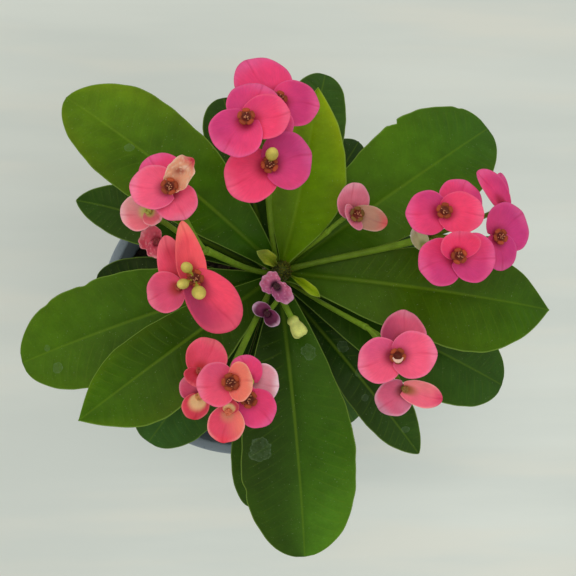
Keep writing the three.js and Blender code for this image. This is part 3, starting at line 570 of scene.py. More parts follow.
def leafShapeOf(leaf):
    # an upper face over the length t and the width v, and a lower one the blade's thickness below it
    s = leafShape
    mark, length = leaf["number"], leaf["length"]
    q = np.linspace(0, 1, s["stations"])
    t = np.concatenate([[-s["root"] / length], 0.6 * q + 0.4 * (1 - (1 - q) ** 2.2)])
    w = np.linspace(-1, 1, s["columns"])
    v = (np.sign(w) * np.abs(w) ** 1.1 * 0.6 + np.sin(np.pi / 2 * w) * 0.4)[None]
    points, across, half, up = leafGrid(leaf, t, v, True)
    size = min(1, length / s["fullRibLength"])
    t, far = t[:, None], np.abs(v)

    # side veins leave the midrib by turns and curve towards the tip; the blade swells between them
    phase = (t * length - np.abs(across) * s["veinLean"] * (1 - 0.3 * far)) / s["veinSpacing"]
    phase = phase + 0.5 * (v > 0) + 0.22 * np.sin(9 * t + mark + 2 * v) + 0.12 * np.sin(23 * t + 2 * mark)
    reach = fade(0.04, 0.3, far) * (1 - fade(0.72, 0.96, far))
    reach = reach * fade(0.06, 0.3, t) * (1 - fade(0.88, 1, t))
    reach = reach * (0.65 + 0.35 * np.sin(5 * t + mark + 3 * v))
    quilt = -np.cos(2 * np.pi * phase) * 0.5 * s["veinRelief"] * reach * size
    broad = s["broadWave"] * waves(points, 30, 60 + mark) * fade(0.15, 0.6, far) * size
    groove = s["groove"] * bump(across, 1.0 * size + 0.2) * (1 - 0.75 * t) * size
    thick = mix(s["edgeThickness"], s["thickness"], np.sqrt(1 - far ** 5))
    ribDrop = mix(s["ribAtBase"], s["ribAtTip"], np.clip(t, 0, 1)) * bump(across, s["ribWidth"] * size)
    thick = thick + ribDrop * size + s["rootThickness"] * (1 - fade(0, 0.12, t)) * size
    top = points + up[:, None] * (broad + quilt - groove)[..., None]
    under = points + up[:, None] * (broad + quilt - thick)[..., None]

    tone = leafTone(leaf, placedLeaf(leaf, points), t, v)
    toneUnder = mix(tone, srgb(leafPaint["under"]), 0.4)
    return shell(placedLeaf(leaf, top), placedLeaf(leaf, under), tone, toneUnder, along=t, across=across,
                 edge=half * (1 - far), phase=phase, reach=reach, drop=dropDistance(leaf, t, across))


def leafFinish():
    f = Finish("waxy leaf")
    under, along = f.known("under"), f.known("along")
    upper = f.maths("SUBTRACT", 1.0, under)
    shade = f.times(f.mottled(150, 4, 0.88, 1.12), f.mottled(1100, 2, 0.94, 1.06))
    colour = f.scaled(f.known("tone", 0), shade)
    # side veins: a thin paler line wherever the phase passes a whole number
    line = f.maths("PINGPONG", f.known("phase"), 0.5)
    veins = f.times(f.ranged(line, 0.0, 0.10, 0.14, 0), f.known("reach"))
    colour = f.blended(veins, colour, leafPaint["vein"])
    # midrib: a pale line that narrows and fades towards the tip
    ribWidth = f.ranged(along, 0, 1, 1.5, 0.5, False)
    across = f.maths("DIVIDE", f.maths("ABSOLUTE", f.known("across")), ribWidth)
    rib = f.times(f.ranged(across, 0.15, 1.0, 1, 0), f.ranged(along, 0.0, 0.98, 0.42, 0.16, False))
    colour = f.blended(f.times(rib, f.ranged(along, 0.1, 0.4, 0.45, 1)), colour, leafPaint["rib"])
    # margin: a thin pale line on the very edge
    colour = f.blended(f.ranged(f.known("edge"), 0.08, 0.6, 0.6, 0), colour, leafPaint["margin"])
    # dried drops: a thin grey film with a paler rim
    ragged = f.plus(f.known("drop"), f.mottled(420, 3, -0.18, 0.18))
    rim = f.ranged(f.maths("ABSOLUTE", f.maths("SUBTRACT", ragged, 0.9)), 0.0, 0.12, 0.12, 0)
    film = f.times(f.plus(f.ranged(ragged, 0.9, 1.0, 0.09, 0), rim), upper)
    film = f.times(film, f.ranged(f.grain(700, 2), 0.35, 0.6, 0.5, 1))
    colour = f.blended(film, colour, leafPaint["film"])
    # specks of dust
    dust = f.times(f.ranged(f.grain(1500, 1), 0.72, 0.78, 0, 0.3), upper)
    rough = f.plus(f.mottled(260, 3, 0.30, 0.42, True), f.times(film, 0.8))
    return f.done(
        Base_Color=f.blended(dust, colour, leafPaint["dust"]),
        Roughness=f.plus(rough, f.times(under, 0.15)),
        Specular_IOR_Level=0.16,
        Specular_Tint=(0.85, 1.0, 0.45, 1.0),
        Subsurface_Weight=0.03,
        Subsurface_Scale=0.002,
        Normal=f.bumps(0.2, 0.0002, f.grain(2600, 2)),
    )


leafMaterial = leafFinish()
for leaf in leaves:
    node = f"leaf_{leaf['number']:02d}"
    addPiece(node + "_blade", leafShapeOf(leaf), leafMaterial, node)
print("leaves made:", len(leaves))


# blooms: the cup's place, how far it tips and towards which azimuth, its kind of cup, then its bracts from
# the lowest up: look, azimuth towards which it turns to the look's lighter, warm colour, which is painted
# light, with painted shade on the far side, then azimuth, length, width, rise, curl, and where they
# aren't 0 its fold, crumple and narrowing
bloomRows = [
    ("top_1", (5.3, 67.8, 237), 12, 60, "open",
     ("pink", 90, 127, 19.8, 22, 4, 3), ("pink", 150, -2, 15.4, 19, 3, 3)),
    ("top_2", (-6.3, 57.7, 247), 8, 150, "open",
     ("pink", 0, 70, 15.5, 19.5, 1.5, 3.5), ("hot", 300, 6, 15.5, 16.5, 4, 1.5),
     ("pink", 330, 236, 15.3, 19.5, 4, 2)),
    ("top_3", (2, 43.2, 241), 6, 270, "open",
     ("hot", 190, 209, 17.3, 20, 4, 3), ("deep", 270, 17, 15.6, 21.5, 4, 3)),
    ("top_4", (0.4, 61.2, 239.8), 10, 0, "young",
     ("pink", 0, 140, 8, 11, 2, 1), ("pink", 90, -42, 11.5, 13.5, 4, 1)),
    ("left_1", (-32.8, 33.5, 240), 8, 150, "open",
     ("pink", 90, 122, 15.6, 17, 2, 3), ("rosy", 330, 294, 11.5, 15.5, 2, 3),
     ("rosy", 150, 176, 14.4, 16.5, 4, 3), ("folded", 70, 44, 13, 11.5, 8, 1, 28, 0.6)),
    ("left_2", (-41, 27.4, 231), 10, 190, "young",
     ("pale", 270, 188, 10.3, 13.6, 4, 2), ("pale", 270, -40, 6.5, 9, 4, 1, 20)),
    ("left_3", (-37.9, 17.1, 226), 14, 200, "spent",
     ("crumpled", 100, 150, 6.8, 10, 4, 0, 0, 0.9), ("crumpled", 0, -80, 6.5, 9, 3, 0, 0, 0.9)),
    ("left_4", (-24.4, 1.6, 243), 5, 320, "open",
     ("coral", 20, 103, 20.5, 13, 5, 4, -14, 0, 0.5),
     ("crimson", 35, -50, 22.5, 15.8, 5, 5, -12, 0, -0.35)),
    ("left_5", (-29.6, -0.8, 236), 8, 200, "spent",
     ("coralRed", 200, 105, 19, 13, 5, 1, 0, 0, 0.3), ("rose", 60, 202, 11.8, 15, 4, 2)),
    ("low_1", (-11.2, -34.6, 243), 6, 180, "open",
     ("rose", 270, 189, 11.8, 15.8, 5, 3), ("salmon", 0, 2, 7.8, 13.8, 7, 1)),
    ("low_2", (-22.2, -31, 233), 8, 100, "spent",
     ("coralRed", 20, 64, 12.8, 15, 4, 2), ("coralRed", 0, 244, 6, 9, 4, 0.5)),
    ("low_3", (-21.6, -39.8, 229), 22, 180, "spent",
     ("dusk", 90, 122, 9, 11, 3.4, 1, 20), ("peach", 270, -98, 8.2, 11, 4, 1, 14)),
    ("low_4", (-4, -34.8, 230), 6, 60, "young",
     ("greyPink", 180, -6, 10.8, 14.6, 3, 2), ("pink", 90, 110, 10.3, 12, 3, 2)),
    ("low_5", (-5.3, -40.3, 235.5), 12, 320, "open",
     ("pink", 0, -45, 12, 14.4, 4, 2), ("pink", 0, 120, 5, 7.4, 3, 1)),
    ("low_6", (-12, -44.7, 237.2), 10, 270, "spent",
     ("blush", 20, -99, 11.2, 13.2, 4, 2), ("peach", 0, 80, 5, 6.6, 3.5, 0)),
    ("right_1", (70.2, 30.2, 226), 6, 200, "open",
     ("pink", 250, 184, 14.2, 17.5, 4, 3), ("hot", 0, -5, 15, 16.5, 4, 2)),
    ("right_2", (74.9, 13.1, 226), 6, 270, "open",
     ("pink", 100, 200, 15.2, 18.5, 4, 3), ("pink", 90, -4, 15, 19, 4, 3),
     ("hot", 90, 95, 9.3, 15.5, 7, 1)),
    ("right_3", (93.3, 21.8, 219), 12, 350, "open",
     ("deep", 180, 42, 15.4, 20.5, 4, 3), ("deep", 180, -80, 13, 14.5, 3, 3)),
    ("right_4", (97.9, 35.2, 214), 16, 40, "spent",
     ("deep", 180, 95, 13.3, 6.8, 4, 1), ("pink", 220, 134, 17.5, 12, 6, 3, 22)),
    ("right_5", (77.4, 32.2, 218), 6, 60, "open",
     ("pink", 150, 68, 13, 18, 4, 3), ("pink", 0, 240, 6, 9, 1, 1)),
    ("right_6", (67.2, 19, 209), 14, 200, "young",
     ("cream", 90, 122, 8.6, 7.4, 4, 0, 25)),
    ("corner_1", (52.4, -24.6, 220), 4, 270, "lipped",
     ("rosy", 270, 197, 15.2, 17.6, 4, 3), ("rosy", 330, 4, 15.4, 18.5, 4, 3)),
    ("corner_2", (57.6, -37.3, 211), 8, 260, "spent",
     ("dustyPink", 0, 222, 12.8, 14.6, 3, 3), ("salmonPink", 90, -15, 15, 11, 5, 3, 24)),
    ("corner_3", (56.5, -20.6, 212), 6, 90, "spent",
     ("dusk", 20, 81, 14.2, 21, 4, 3, 0, 0, 0.35), ("dusk", 0, 300, 5, 8, 1, 1)),
    ("crown_1", (7.9, 3.4, 203), 8, 270, "spent",
     ("withered", 90, 150, 7, 9.8, 3, 1, 0, 0.6), ("withered", 60, -48, 9, 8, 3, 1, 0, 0.5)),
    ("crown_2", (5.1, -6.9, 198), 20, 230, "spent",
     ("purple", 60, 143, 6.6, 6.8, 4, 1, 20), ("purple", 60, -40, 6.2, 6.8, 4, 1, 18)),
    ("single", (38.9, 32.6, 204), 16, 330, "open",
     ("washed", 90, 100, 12.6, 14.5, 6, 2), ("beige", 90, -13, 13.4, 10.8, 5, 1, 22),
     ("washed", 180, 215, 4.8, 12, 3, 0.5)),
]
bloomKeys = ("at", "tip", "towards", "cup")
blooms = {name: {**dict(zip(bloomKeys, row)), "bracts": row[4:]} for name, *row in bloomRows}

# colours in the throat, over the bract on its darker, colder side and on its lighter, warm side, which
# are painted shade and painted light, on its edge, and at its tip where that isn't the edge's colour
bractLooks = {
    "pink": ((168, 28, 62), (206, 52, 114), (234, 60, 112), (228, 86, 138)),
    "hot": ((176, 28, 58), (220, 54, 108), (244, 62, 106), (240, 90, 126)),
    "deep": ((150, 24, 58), (198, 50, 116), (216, 56, 112), (212, 78, 134)),
    "rose": ((176, 50, 50), (216, 72, 108), (238, 78, 108), (236, 112, 138)),
    "rosy": ((156, 40, 60), (224, 80, 124), (244, 86, 120), (240, 118, 148)),
    "coral": ((176, 40, 44), (214, 62, 78), (250, 86, 94), (246, 100, 104), (244, 118, 104)),
    "crimson": ((150, 30, 48), (172, 44, 84), (242, 68, 96), (220, 76, 102)),
    "coralRed": ((190, 44, 50), (208, 52, 74), (236, 74, 104), (240, 104, 118)),
    "salmon": ((150, 70, 36), (236, 88, 98), (246, 126, 104), (246, 162, 136)),
    "salmonPink": ((160, 96, 50), (240, 102, 126), (248, 138, 136), (248, 172, 164), (218, 66, 102)),
    "dustyPink": ((150, 60, 70), (214, 88, 120), (206, 122, 148), (226, 166, 180), (202, 132, 152)),
    "blush": ((214, 130, 100), (222, 66, 94), (242, 124, 104), (244, 162, 152), (232, 58, 78)),
    "peach": ((236, 196, 138), (208, 56, 80), (214, 62, 82), (228, 118, 120), (206, 50, 70)),
    "folded": ((196, 96, 60), (226, 120, 96), (238, 172, 134), (246, 214, 184), (204, 44, 70)),
    "pale": ((206, 206, 110), (214, 146, 142), (238, 112, 126), (240, 176, 178)),
    "crumpled": ((140, 34, 50), (196, 70, 92), (216, 92, 108), (234, 158, 162)),
    "dusk": ((150, 40, 60), (172, 52, 92), (214, 82, 112), (224, 130, 150), (216, 118, 140)),
    "greyPink": ((196, 116, 130), (216, 138, 150), (234, 158, 168), (238, 200, 206)),
    "washed": ((160, 84, 84), (206, 104, 128), (222, 114, 134), (230, 154, 166)),
    "beige": ((110, 84, 30), (186, 134, 112), (196, 146, 120), (212, 180, 154), (214, 96, 92)),
    "cream": ((160, 168, 100), (186, 182, 128), (204, 200, 150), (222, 216, 190)),
    "withered": ((50, 18, 34), (164, 78, 118), (196, 102, 132), (214, 160, 180), (200, 140, 164)),
    "purple": ((60, 10, 36), (84, 20, 54), (130, 54, 92), (206, 170, 190)),
}
bractShape = {
    "thickness": 0.5, "innerRadius": 1.0, "spread": 116, "centreShare": 0.42, "tier": 1.05,
    "rays": 67, "rings": 24, "crease": 0.32, "ruffle": 0.34, "vein": 0.03, "point": 0.012,
    "fullLength": 12, "wrinkles": (0.7, 0.3), "underPaint": (222, 140, 146),
    "hollowShadePaint": (146, 54, 34), "creaseShadePaint": (206, 96, 140),
}


def bractReach(length, width, turn):
    # distance from the cup to the edge of an ellipse that the cup lies inside
    centre = bractShape["centreShare"] * length
    a, b = length - centre, width / 2
    c, s = np.cos(turn), np.sin(turn)
    q = (c / a) ** 2 + (s / b) ** 2
    p = centre * c / a ** 2
    return (p + np.sqrt(p * p - q * ((centre / a) ** 2 - 1))) / q


def bractTone(look, top, turn, q, lean, crumple, seed):
    # from the throat's colour to the painted shade and painted light of the two sides, then to the edge and
    # the tip
    colours = bractLooks[look]
    throat, paintedShadeSide, paintedLitSide, edge, tip = (srgb(c) for c in (*colours, colours[3])[:5])

    def painted(colour, share):
        return mix(tone, colour, share[..., None])

    def patches(size):
        return waves(top, size, 90 + seed, 14)

    reach = 0.3 if look == "peach" else 0
    # painted light and shade: lighter and warm towards the lit side, darker and colder on the other
    tone = mix(paintedShadeSide, paintedLitSide, fade(-0.75, 0.75, lean)[..., None])
    # the throat's darker colour is partly the bract's own and partly painted shade in the hollow round the
    # cup
    tone = painted(throat, 1 - fade(0.06 + reach, 0.42 + reach, q))
    tone = painted(edge, fade(0.86, 1, q) * 0.75)
    tone = painted(tip, fade(0.66, 0.95, q) * bump(turn, 0.35))
    if look == "folded":
        # painted shade: the hollow inside the fold is painted dark, where shade falls in it
        hollow = bump(turn - 0.25, 0.35) * bump(q - 0.52, 0.14)
        tone = painted(srgb(bractShape["hollowShadePaint"]), 0.85 * hollow)
        tone = painted(edge, 0.6 * fade(0.2, 0.9, patches(3)) * fade(0.2, 0.5, q))
    if crumple:
        tone = painted(edge, 0.75 * fade(0.1, 0.9, patches(1.5)) * fade(0.2, 0.5, q))
    return tone * (1 + 0.06 * waves(top, 14, seed))[..., None]


def bractShapeOf(tier, seed, look, warm, azimuth, length, width, rise, curl, fold=0, crumple=0, narrow=0):
    # a blade over angle and distance from the cup: it rises, curls down at the edge, folds and ruffles
    b = bractShape
    turn = np.radians(np.linspace(-b["spread"], b["spread"], b["rays"]))[None]
    q = np.linspace(0, 1, b["rings"])[:, None] ** 0.85
    uneven = 0.014 * np.sin(4.3 * turn + seed) + 0.008 * np.sin(11 * turn + 2 * seed)
    reach = bractReach(length, width, turn) * (1 + uneven + b["point"] * bump(turn, 0.1))
    r = mix(b["innerRadius"], reach, q)
    s = r / length
    across = r * np.sin(turn) * (1 - narrow * np.maximum(0, s * np.cos(turn)))
    tilt = math.radians(fold)
    small = min(1, length / b["fullLength"])
    bent = across + 0.5 * np.sin(0.4 * r + seed)
    height = tier * b["tier"] + rise * s ** 1.5 - curl * s ** 3 + crumple * s * np.sin(4 * turn + 5 * s)
    height = height + (np.sqrt(across ** 2 + 0.6) - 0.77) * math.sin(tilt) * np.minimum(1, 1.5 * s)
    height = height - b["crease"] * bump(bent, 1.0) * fade(0.25, 0.7, s) * (1 - fade(0.9, 1, s)) * small
    height = height + b["ruffle"] * np.sin(2.7 * turn + 1.7 * seed) * q ** 3 * small
    height = height + b["vein"] * np.sin(24 * turn + 2 * np.sin(5 * turn + seed)) * q * (1 - q ** 6)
    x, y = r * np.cos(turn), across * math.cos(tilt)
    if crumple:
        # small wrinkles and a ragged edge on a bract that has dried
        flat = np.stack([x, y, 0 * x], -1)
        large, fine = b["wrinkles"]
        wrinkled = large * waves(flat, 3.0, 70 + seed, 12) + fine * waves(flat, 1.4, 80 + seed, 14)
        height = height + wrinkled * fade(0, 0.4, q)
        ragged = 0.06 + 0.035 * np.sin(5 * turn + seed) + 0.04 * np.sin(13 * turn + 2 * seed)
        x, y = x * (1 - ragged * q ** 2), y * (1 - ragged * q ** 2)
    top = np.stack([x, y, height], -1)
    thick = b["thickness"] * mix(0.35, 1, np.sqrt(np.clip(1 - q ** 6, 0, 1)))
    under = np.stack([x, y, height - thick], -1)
    # the way to the bract's painted lit side
    towards = heading(warm - azimuth)
    lean = (x * towards[0] + y * towards[1]) / (0.5 * width) + 0.15 * waves(top, 9, 20 + seed)
    tone = bractTone(look, top, turn, q, lean, crumple, seed)
    shape = shell(top, under, tone, mix(tone, srgb(b["underPaint"]), 0.25), around=turn, out=q, crease=bent)
    return moved(shape, aboutZ(azimuth))


def bractFinish():
    f = Finish("satin bract")
    # veins: noise drawn out from the cup to the edge
    out = f.known("out")
    fan = f.add("CombineXYZ", X=f.times(f.known("around"), 9.0), Y=f.times(out, 1.6))
    streaks = f.grain(2.2, 4.0, 0.6, fan)
    shade = f.times(f.ranged(streaks, 0.3, 0.7, 0.94, 1.05, False), f.mottled(300, 3, 0.95, 1.05))
    # painted shade: the colour is darkened along the crease, where shade falls in it
    crease = f.ranged(f.maths("ABSOLUTE", f.known("crease")), 0.0, 0.7, 0.32, 0)
    crease = f.times(crease, f.ranged(out, 0.35, 0.8, 0.2, 1))
    colour = f.scaled(f.known("tone", 0), shade)
    return f.done(
        Base_Color=f.blended(crease, colour, bractShape["creaseShadePaint"], "MULTIPLY"),
        Roughness=f.mottled(500, 2, 0.46, 0.6, True),
        Specular_IOR_Level=0.22,
        Subsurface_Weight=0.12,
        Subsurface_Scale=0.0015,
        Sheen_Weight=0.06,
        Sheen_Roughness=0.4,
        Normal=f.bumps(0.15, 0.0003, streaks),
    )


bractMaterial = bractFinish()
for number, (key, bloom) in enumerate(blooms.items()):
    facing = turnTo(heading(bloom["towards"], 90 - bloom["tip"]))
    shapes = [bractShapeOf(tier, 3 * number + tier, *bract) for tier, bract in enumerate(bloom["bracts"])]
    shape = moved(joined(shapes), facing, bloom["at"])
    addPiece(f"bloom_{key}_bracts", shape, bractMaterial, f"bloom_{key}")
print("blooms made:", len(blooms))


# flower stalks, with the cups in the middle of the bracts and the buds

stalkRows = {
    "top": (184.5, 117, 56, (2, 50, 226), 1.4),
    "left": (182.5, 188, 46, (-20, 15.5, 215), 1.5),
    "low": (182, 240, 48, (-11, -32, 219), 1.5),
    "right": (184, 12, 30, (67, 23, 206), 1.6),
    "corner": (176.5, 321, 30, (44.5, -13, 203), 1.2),
    "crown": (183, 265, 35, (11, 1, 191), 1.2),
    "single": (181, 45, 32, (30, 27, 197), 1.1),
}
stalkKeys = ("base", "azimuth", "slope", "fork", "radius")
stalks = {key: dict(zip(stalkKeys, row)) for key, row in stalkRows.items()}
stalkShape = {
    "rootShare": 0.7, "upturn": 25, "mostUpturn": 75, "sunk": 2.5,
    "base": (76, 100, 16), "top": (112, 144, 34), "bud": (208, 188, 92), "budFoot": (152, 144, 44),
}
# buds beside a cup: azimuth, distance, size
buds = {"top_3": [(80, 3.4, 2.6)], "left_4": [(130, 4.6, 2.3), (207, 4.7, 2.3), (284, 5.2, 2.8)]}
closedBud = {
    "stalk": "crown", "at": (16.8, -12.3, 196), "azimuth": 300, "slope": 4, "size": (3.2, 2.6, 4.8),
    "shares": (0, 0.06, 0.2, 0.34, 0.5, 0.74, 0.9, 0.97, 1.0), "foot": (140, 156, 60),
    "girths": (0.25, 0.55, 0.78, 0.66, 0.86, 1.0, 0.97, 0.8, 0.45), "lips": (206, 212, 116),
    "rings": 25, "sides": 32,
}
cup = {
    "neck": 1.1, "above": 0.4, "depth": 2.2, "glands": 5, "stamens": 9, "smallShare": 0.55, "knobs": 3,
    "green": (112, 118, 44), "rim": (126, 50, 28), "inside": (104, 36, 30), "stamen": (204, 88, 92),
    "pollen": (190, 124, 88), "lip": (232, 186, 164),
}
# colour of each kind of cup, for an open or lipped one that of its glands, and the cups that differ
cupColours = {
    "open": (154, 62, 34), "lipped": (154, 62, 34), "young": (176, 182, 84), "spent": (176, 74, 62),
    # crown_1 and crown_2 have near-black cups: painted shade, a dark cup standing for the shaded hole in
    # the middle of each dried bloom
    "single": (122, 84, 38), "crown_1": (64, 24, 40), "crown_2": (70, 26, 46), "left_3": (140, 44, 56),
    "corner_2": (150, 104, 56), "low_3": (214, 150, 92), "low_6": (214, 112, 82), "right_4": (160, 50, 70),
}


def stalkPath(stalk, count):
    # a cubic curve from the stem's skin to the fork, where it is steeper than at its root
    rootRadius = stalkShape["rootShare"] * stalk["radius"]
    stand = seatGap + rootRadius * math.sin(math.radians(stalk["slope"]))
    root = stemPoint(stalk["base"], stalk["azimuth"], stand)
    fork = np.array(stalk["fork"], float)
    arrival = min(stalk["slope"] + stalkShape["upturn"], stalkShape["mostUpturn"])
    pull = np.linalg.norm(fork - root) / 3
    leaving = root + heading(stalk["azimuth"], stalk["slope"]) * pull
    return bezier(root, leaving, fork - heading(stalk["azimuth"], arrival) * pull, fork, count)


def smallCupShapes(low, seed, colour):
    # a bell that is not yet open, or has dried: a neck and three low knobs
    top = low + cup["depth"] * cup["smallShare"]
    profile = [(0.9, low - 0.4), (cup["neck"], low), (1.3, low + 0.5), (1.35, top - 0.2), (1.0, top)]
    shapes = [turned([*profile, (0.4, top - 0.3)], 14, colour)]
    knob = egg((0.55, 0.5, 0.35), colour * 0.8, around=8, upwards=5)
    for azimuth in np.arange(cup["knobs"]) * 360 / cup["knobs"] + 35 * seed:
        shapes.append(moved(knob, aboutZ(azimuth), beside(azimuth, 0.95, top)))
    return shapes


def cupShapes(low, seed, colour, lip):
    # a small bell with five fleshy glands round its rim, and stamens standing in it or a lip on its rim
    c = cup
    top = low + c["depth"]
    deep = top - (1.3 if lip else 0.7)
    profile = [(0.9, low - 0.4), (c["neck"], low), (2.0, low + 0.7), (2.6, top - 0.5), (2.55, top)]
    profile += [(2.0, top + 0.1), (1.5, mix(top, deep, 0.5)), (0.4, deep)]
    shapes = [turned(profile, 20, [srgb(c[part]) for part in ["green"] * 4 + ["rim"] * 2 + ["inside"] * 2])]
    for k in range(c["glands"]):
        azimuth = 360 / c["glands"] * k + 20 * seed
        gland = egg((0.8, 1.5, 0.4), colour * (0.8 + 0.1 * ((3 * k + seed) % 5)), around=12, upwards=6)
        shapes.append(moved(gland, aboutZ(azimuth), beside(azimuth, 2.45, top)))
    if lip:
        # a pale lip stands on one side of the rim, thickest at its middle
        azimuth = np.linspace(195, 345, 15)
        radii = 0.15 + 0.6 * bump(azimuth - 270, 55)
        return [*shapes, tube(beside(azimuth, 2.0, top + 0.45), radii, 8, srgb(c["lip"]))]
    rng = np.random.default_rng(100 + seed)
    anther = egg((0.28, 0.22, 0.18), srgb(c["pollen"]), around=8, upwards=4)
    for k in range(c["stamens"]):
        azimuth, radius = rng.uniform(0, 360), rng.uniform(0.1, 1.2)
        foot = beside(azimuth, radius, top - 0.9)
        head = beside(azimuth, 1.3 * radius, top + rng.uniform(0.1, 0.55))
        shapes += [tube(np.linspace(foot, head, 3), 0.14, 5, srgb(c["stamen"])), moved(anther, to=head)]
    return shapes


def budShapes(low, azimuth, distance, size):
    # an egg on a short stalk that bends up from the cup's foot
    low = low + 0.9
    root, seat = beside(azimuth, 1.2, low), beside(azimuth, distance, low + 1.3 * size)
    bend = beside(azimuth, (1.2 + distance) / 2, low + 0.6 * size)
    path = bezier(root, mix(root, bend, 0.7), mix(seat, bend, 0.7), seat, 8)
    tones = np.linspace(srgb(stalkShape["budFoot"]), srgb(stalkShape["bud"]), 12)
    ball = egg((0.9 * size, 0.8 * size, 1.05 * size), tones, tip=0.12, around=20, upwards=12)
    return [tube(path, 0.8, 8, tones[0]), moved(ball, turnTo(heading(azimuth, 60)), seat)]


def purseShape():
    # two bracts folded shut: a squarish body that swells, draws in and ends in a broad parted lip
    b = closedBud
    share = np.linspace(0, 1, b["rings"])
    wide, deep, long = b["size"]
    girth = np.interp(share, b["shares"], b["girths"])
    girth = np.convolve(np.pad(girth, 1, mode="edge"), [0.25, 0.5, 0.25], "valid")[:, None]
    share = share[:, None]
    c, s = circle(b["sides"])[:, :2].T
    square = (np.abs(c) ** 3 + np.abs(s) ** 3) ** (-1 / 3)
    y = girth * square * s * deep
    # the mouth is a groove between the two, deepest at the end
    mouth = bump(y + 0.3, 0.45) * fade(0.7, 1, share)
    x = girth * square * c * wide * (1 - 0.12 * mouth)
    rings = np.stack([x, y, (2 * share - 1) * long - 1.1 * mouth], -1)
    tone = mix(srgb(b["foot"]), srgb(b["lips"]), fade(0, 0.35, share)[..., None])
    # painted shade: the tone is darkened along the groove of the mouth
    return loft(rings, tone * (1 - 0.25 * mouth)[..., None] * (1 + 0.1 * waves(rings, 6, 3))[..., None])


def bloomStalkShapes(number, name, bloom, fork, leaving, tone):
    # a bloom's own stalk from the fork up through its bracts, with its cup and the buds beside it
    facing = heading(bloom["towards"], 90 - bloom["tip"])
    at = np.array(bloom["at"], float)
    start, below = fork - leaving * 0.8, at - facing * 2.2
    pull = np.linalg.norm(below - fork) / 3
    way = bezier(start, start + leaving * pull, below - facing * pull, below, 16)
    low = bractShape["tier"] * (len(bloom["bracts"]) - 1) + cup["above"]
    girth = 1 + 0.15 * bump(np.linspace(0, 1, len(way) + 1) - 1, 0.1)
    colour = srgb(cupColours.get(name, cupColours[bloom["cup"]]))
    if bloom["cup"] in ("young", "spent"):
        parts = smallCupShapes(low, number, colour)
    else:
        parts = cupShapes(low, number, colour, bloom["cup"] == "lipped")
    for row in buds.get(name, ()):
        parts += budShapes(low, *row)
    ownStalk = tube(np.vstack([way, at + facing * low]), girth, 12, tone)
    return [ownStalk, *(moved(part, turnTo(facing), at) for part in parts)]


def stalkShapeOf(key, stalk):
    # the stalk up to its fork, then what stands on it
    s = stalkShape
    path = stalkPath(stalk, 28)
    share = np.linspace(0, 1, len(path))
    low, high = srgb(s["base"]), srgb(s["top"])
    into = path[0] - heading(stalk["azimuth"], stalk["slope"]) * s["sunk"]
    radii = stalk["radius"] * mix(s["rootShare"], 1, share)
    radii = radii * (1 + 0.25 * bump(share, 0.08) + 0.12 * bump(share - 1, 0.06))
    tones = mix(low, high, np.append(0, share)[:, None])
    shapes = [tube(np.vstack([into, path]), np.append(radii[0], radii), 16, tones)]
    fork, leaving = path[-1], unit(path[-1] - path[-2])
    for number, (name, bloom) in enumerate(blooms.items()):
        if name.split("_")[0] == key:
            shapes += bloomStalkShapes(number, name, bloom, fork, leaving, mix(low, high, 0.9))
    if closedBud["stalk"] == key:
        along = heading(closedBud["azimuth"], closedBud["slope"])
        middle = np.array(closedBud["at"], float)
        pull = np.linalg.norm(middle - fork) / 3
        way = bezier(fork - leaving * 0.6, fork + leaving * pull, middle - along * pull, middle, 14)
        shapes += [tube(way, 1.3, 12, high), moved(purseShape(), turnTo(along), middle)]
    return joined(shapes)


def stalkFinish():
    f = Finish("smooth green stalk")
    shade = f.times(f.mottled(300, 4, 0.82, 1.15), f.mottled(1800, 2, 0.93, 1.07))
    return f.done(
        Base_Color=f.scaled(f.known("tone", 0), shade),
        Roughness=f.mottled(500, 2, 0.36, 0.5, True),
        Specular_IOR_Level=0.22,
        Specular_Tint=(0.9, 1.0, 0.6, 1.0),
        Subsurface_Weight=0.06,
        Subsurface_Scale=0.0015,
        Normal=f.bumps(0.2, 0.0003, f.grain(900, 3)),
    )


stalkMaterial = stalkFinish()
for key, stalk in stalks.items():
    addPiece(f"stalk_{key}_stems", stalkShapeOf(key, stalk), stalkMaterial, f"stalk_{key}")
print("flower stalks made:", len(stalks))


# the stem's bark and its thorns

def scars():
    # the number, height and azimuth of each leaf scar, from the lowest up
    count = int((stem["lastScar"] - stem["firstScar"]) / stem["scarSpacing"]) + 1
    return [(k, stem["firstScar"] + k * stem["scarSpacing"], k * stem["divergence"]) for k in range(count)]


def thornList():
    # two thorns at each scar, left out where they would come too near a leaf or stalk
    along, across = 1 - (1 - np.linspace(0, 1, 31)) ** 1.5, np.linspace(-1, 1, 9)[None]
    near = [placedLeaf(leaf, leafGrid(leaf, along, across)[0]).reshape(-1, 3) for leaf in leaves]
    near = np.concatenate(near + [stalkPath(stalk, 31) for stalk in stalks.values()])
    found = []
    for k, height, scarAzimuth in scars():
        for sign in (-1, 1):
            azimuth = scarAzimuth + sign * thorn["splay"]
            lift = thorn["lift"] + thorn["liftSpread"] * math.sin(1.7 * k + 2 * sign)
            way = heading(azimuth + sign * thorn["splay"] / 3, lift)
            reach = thorn["sunk"] + mix(*thorn["length"], 0.5 + 0.5 * math.sin(2.4 * k + sign))
            root = stemPoint(height, azimuth, -thorn["sunk"])
            line = root + way * reach * np.linspace(0.25, 1, 7)[:, None]
            if np.linalg.norm(line[:, None] - near[None], axis=-1).min() > thorn["clearOfLeaves"]:
                found.append((root, way, reach))
    return found


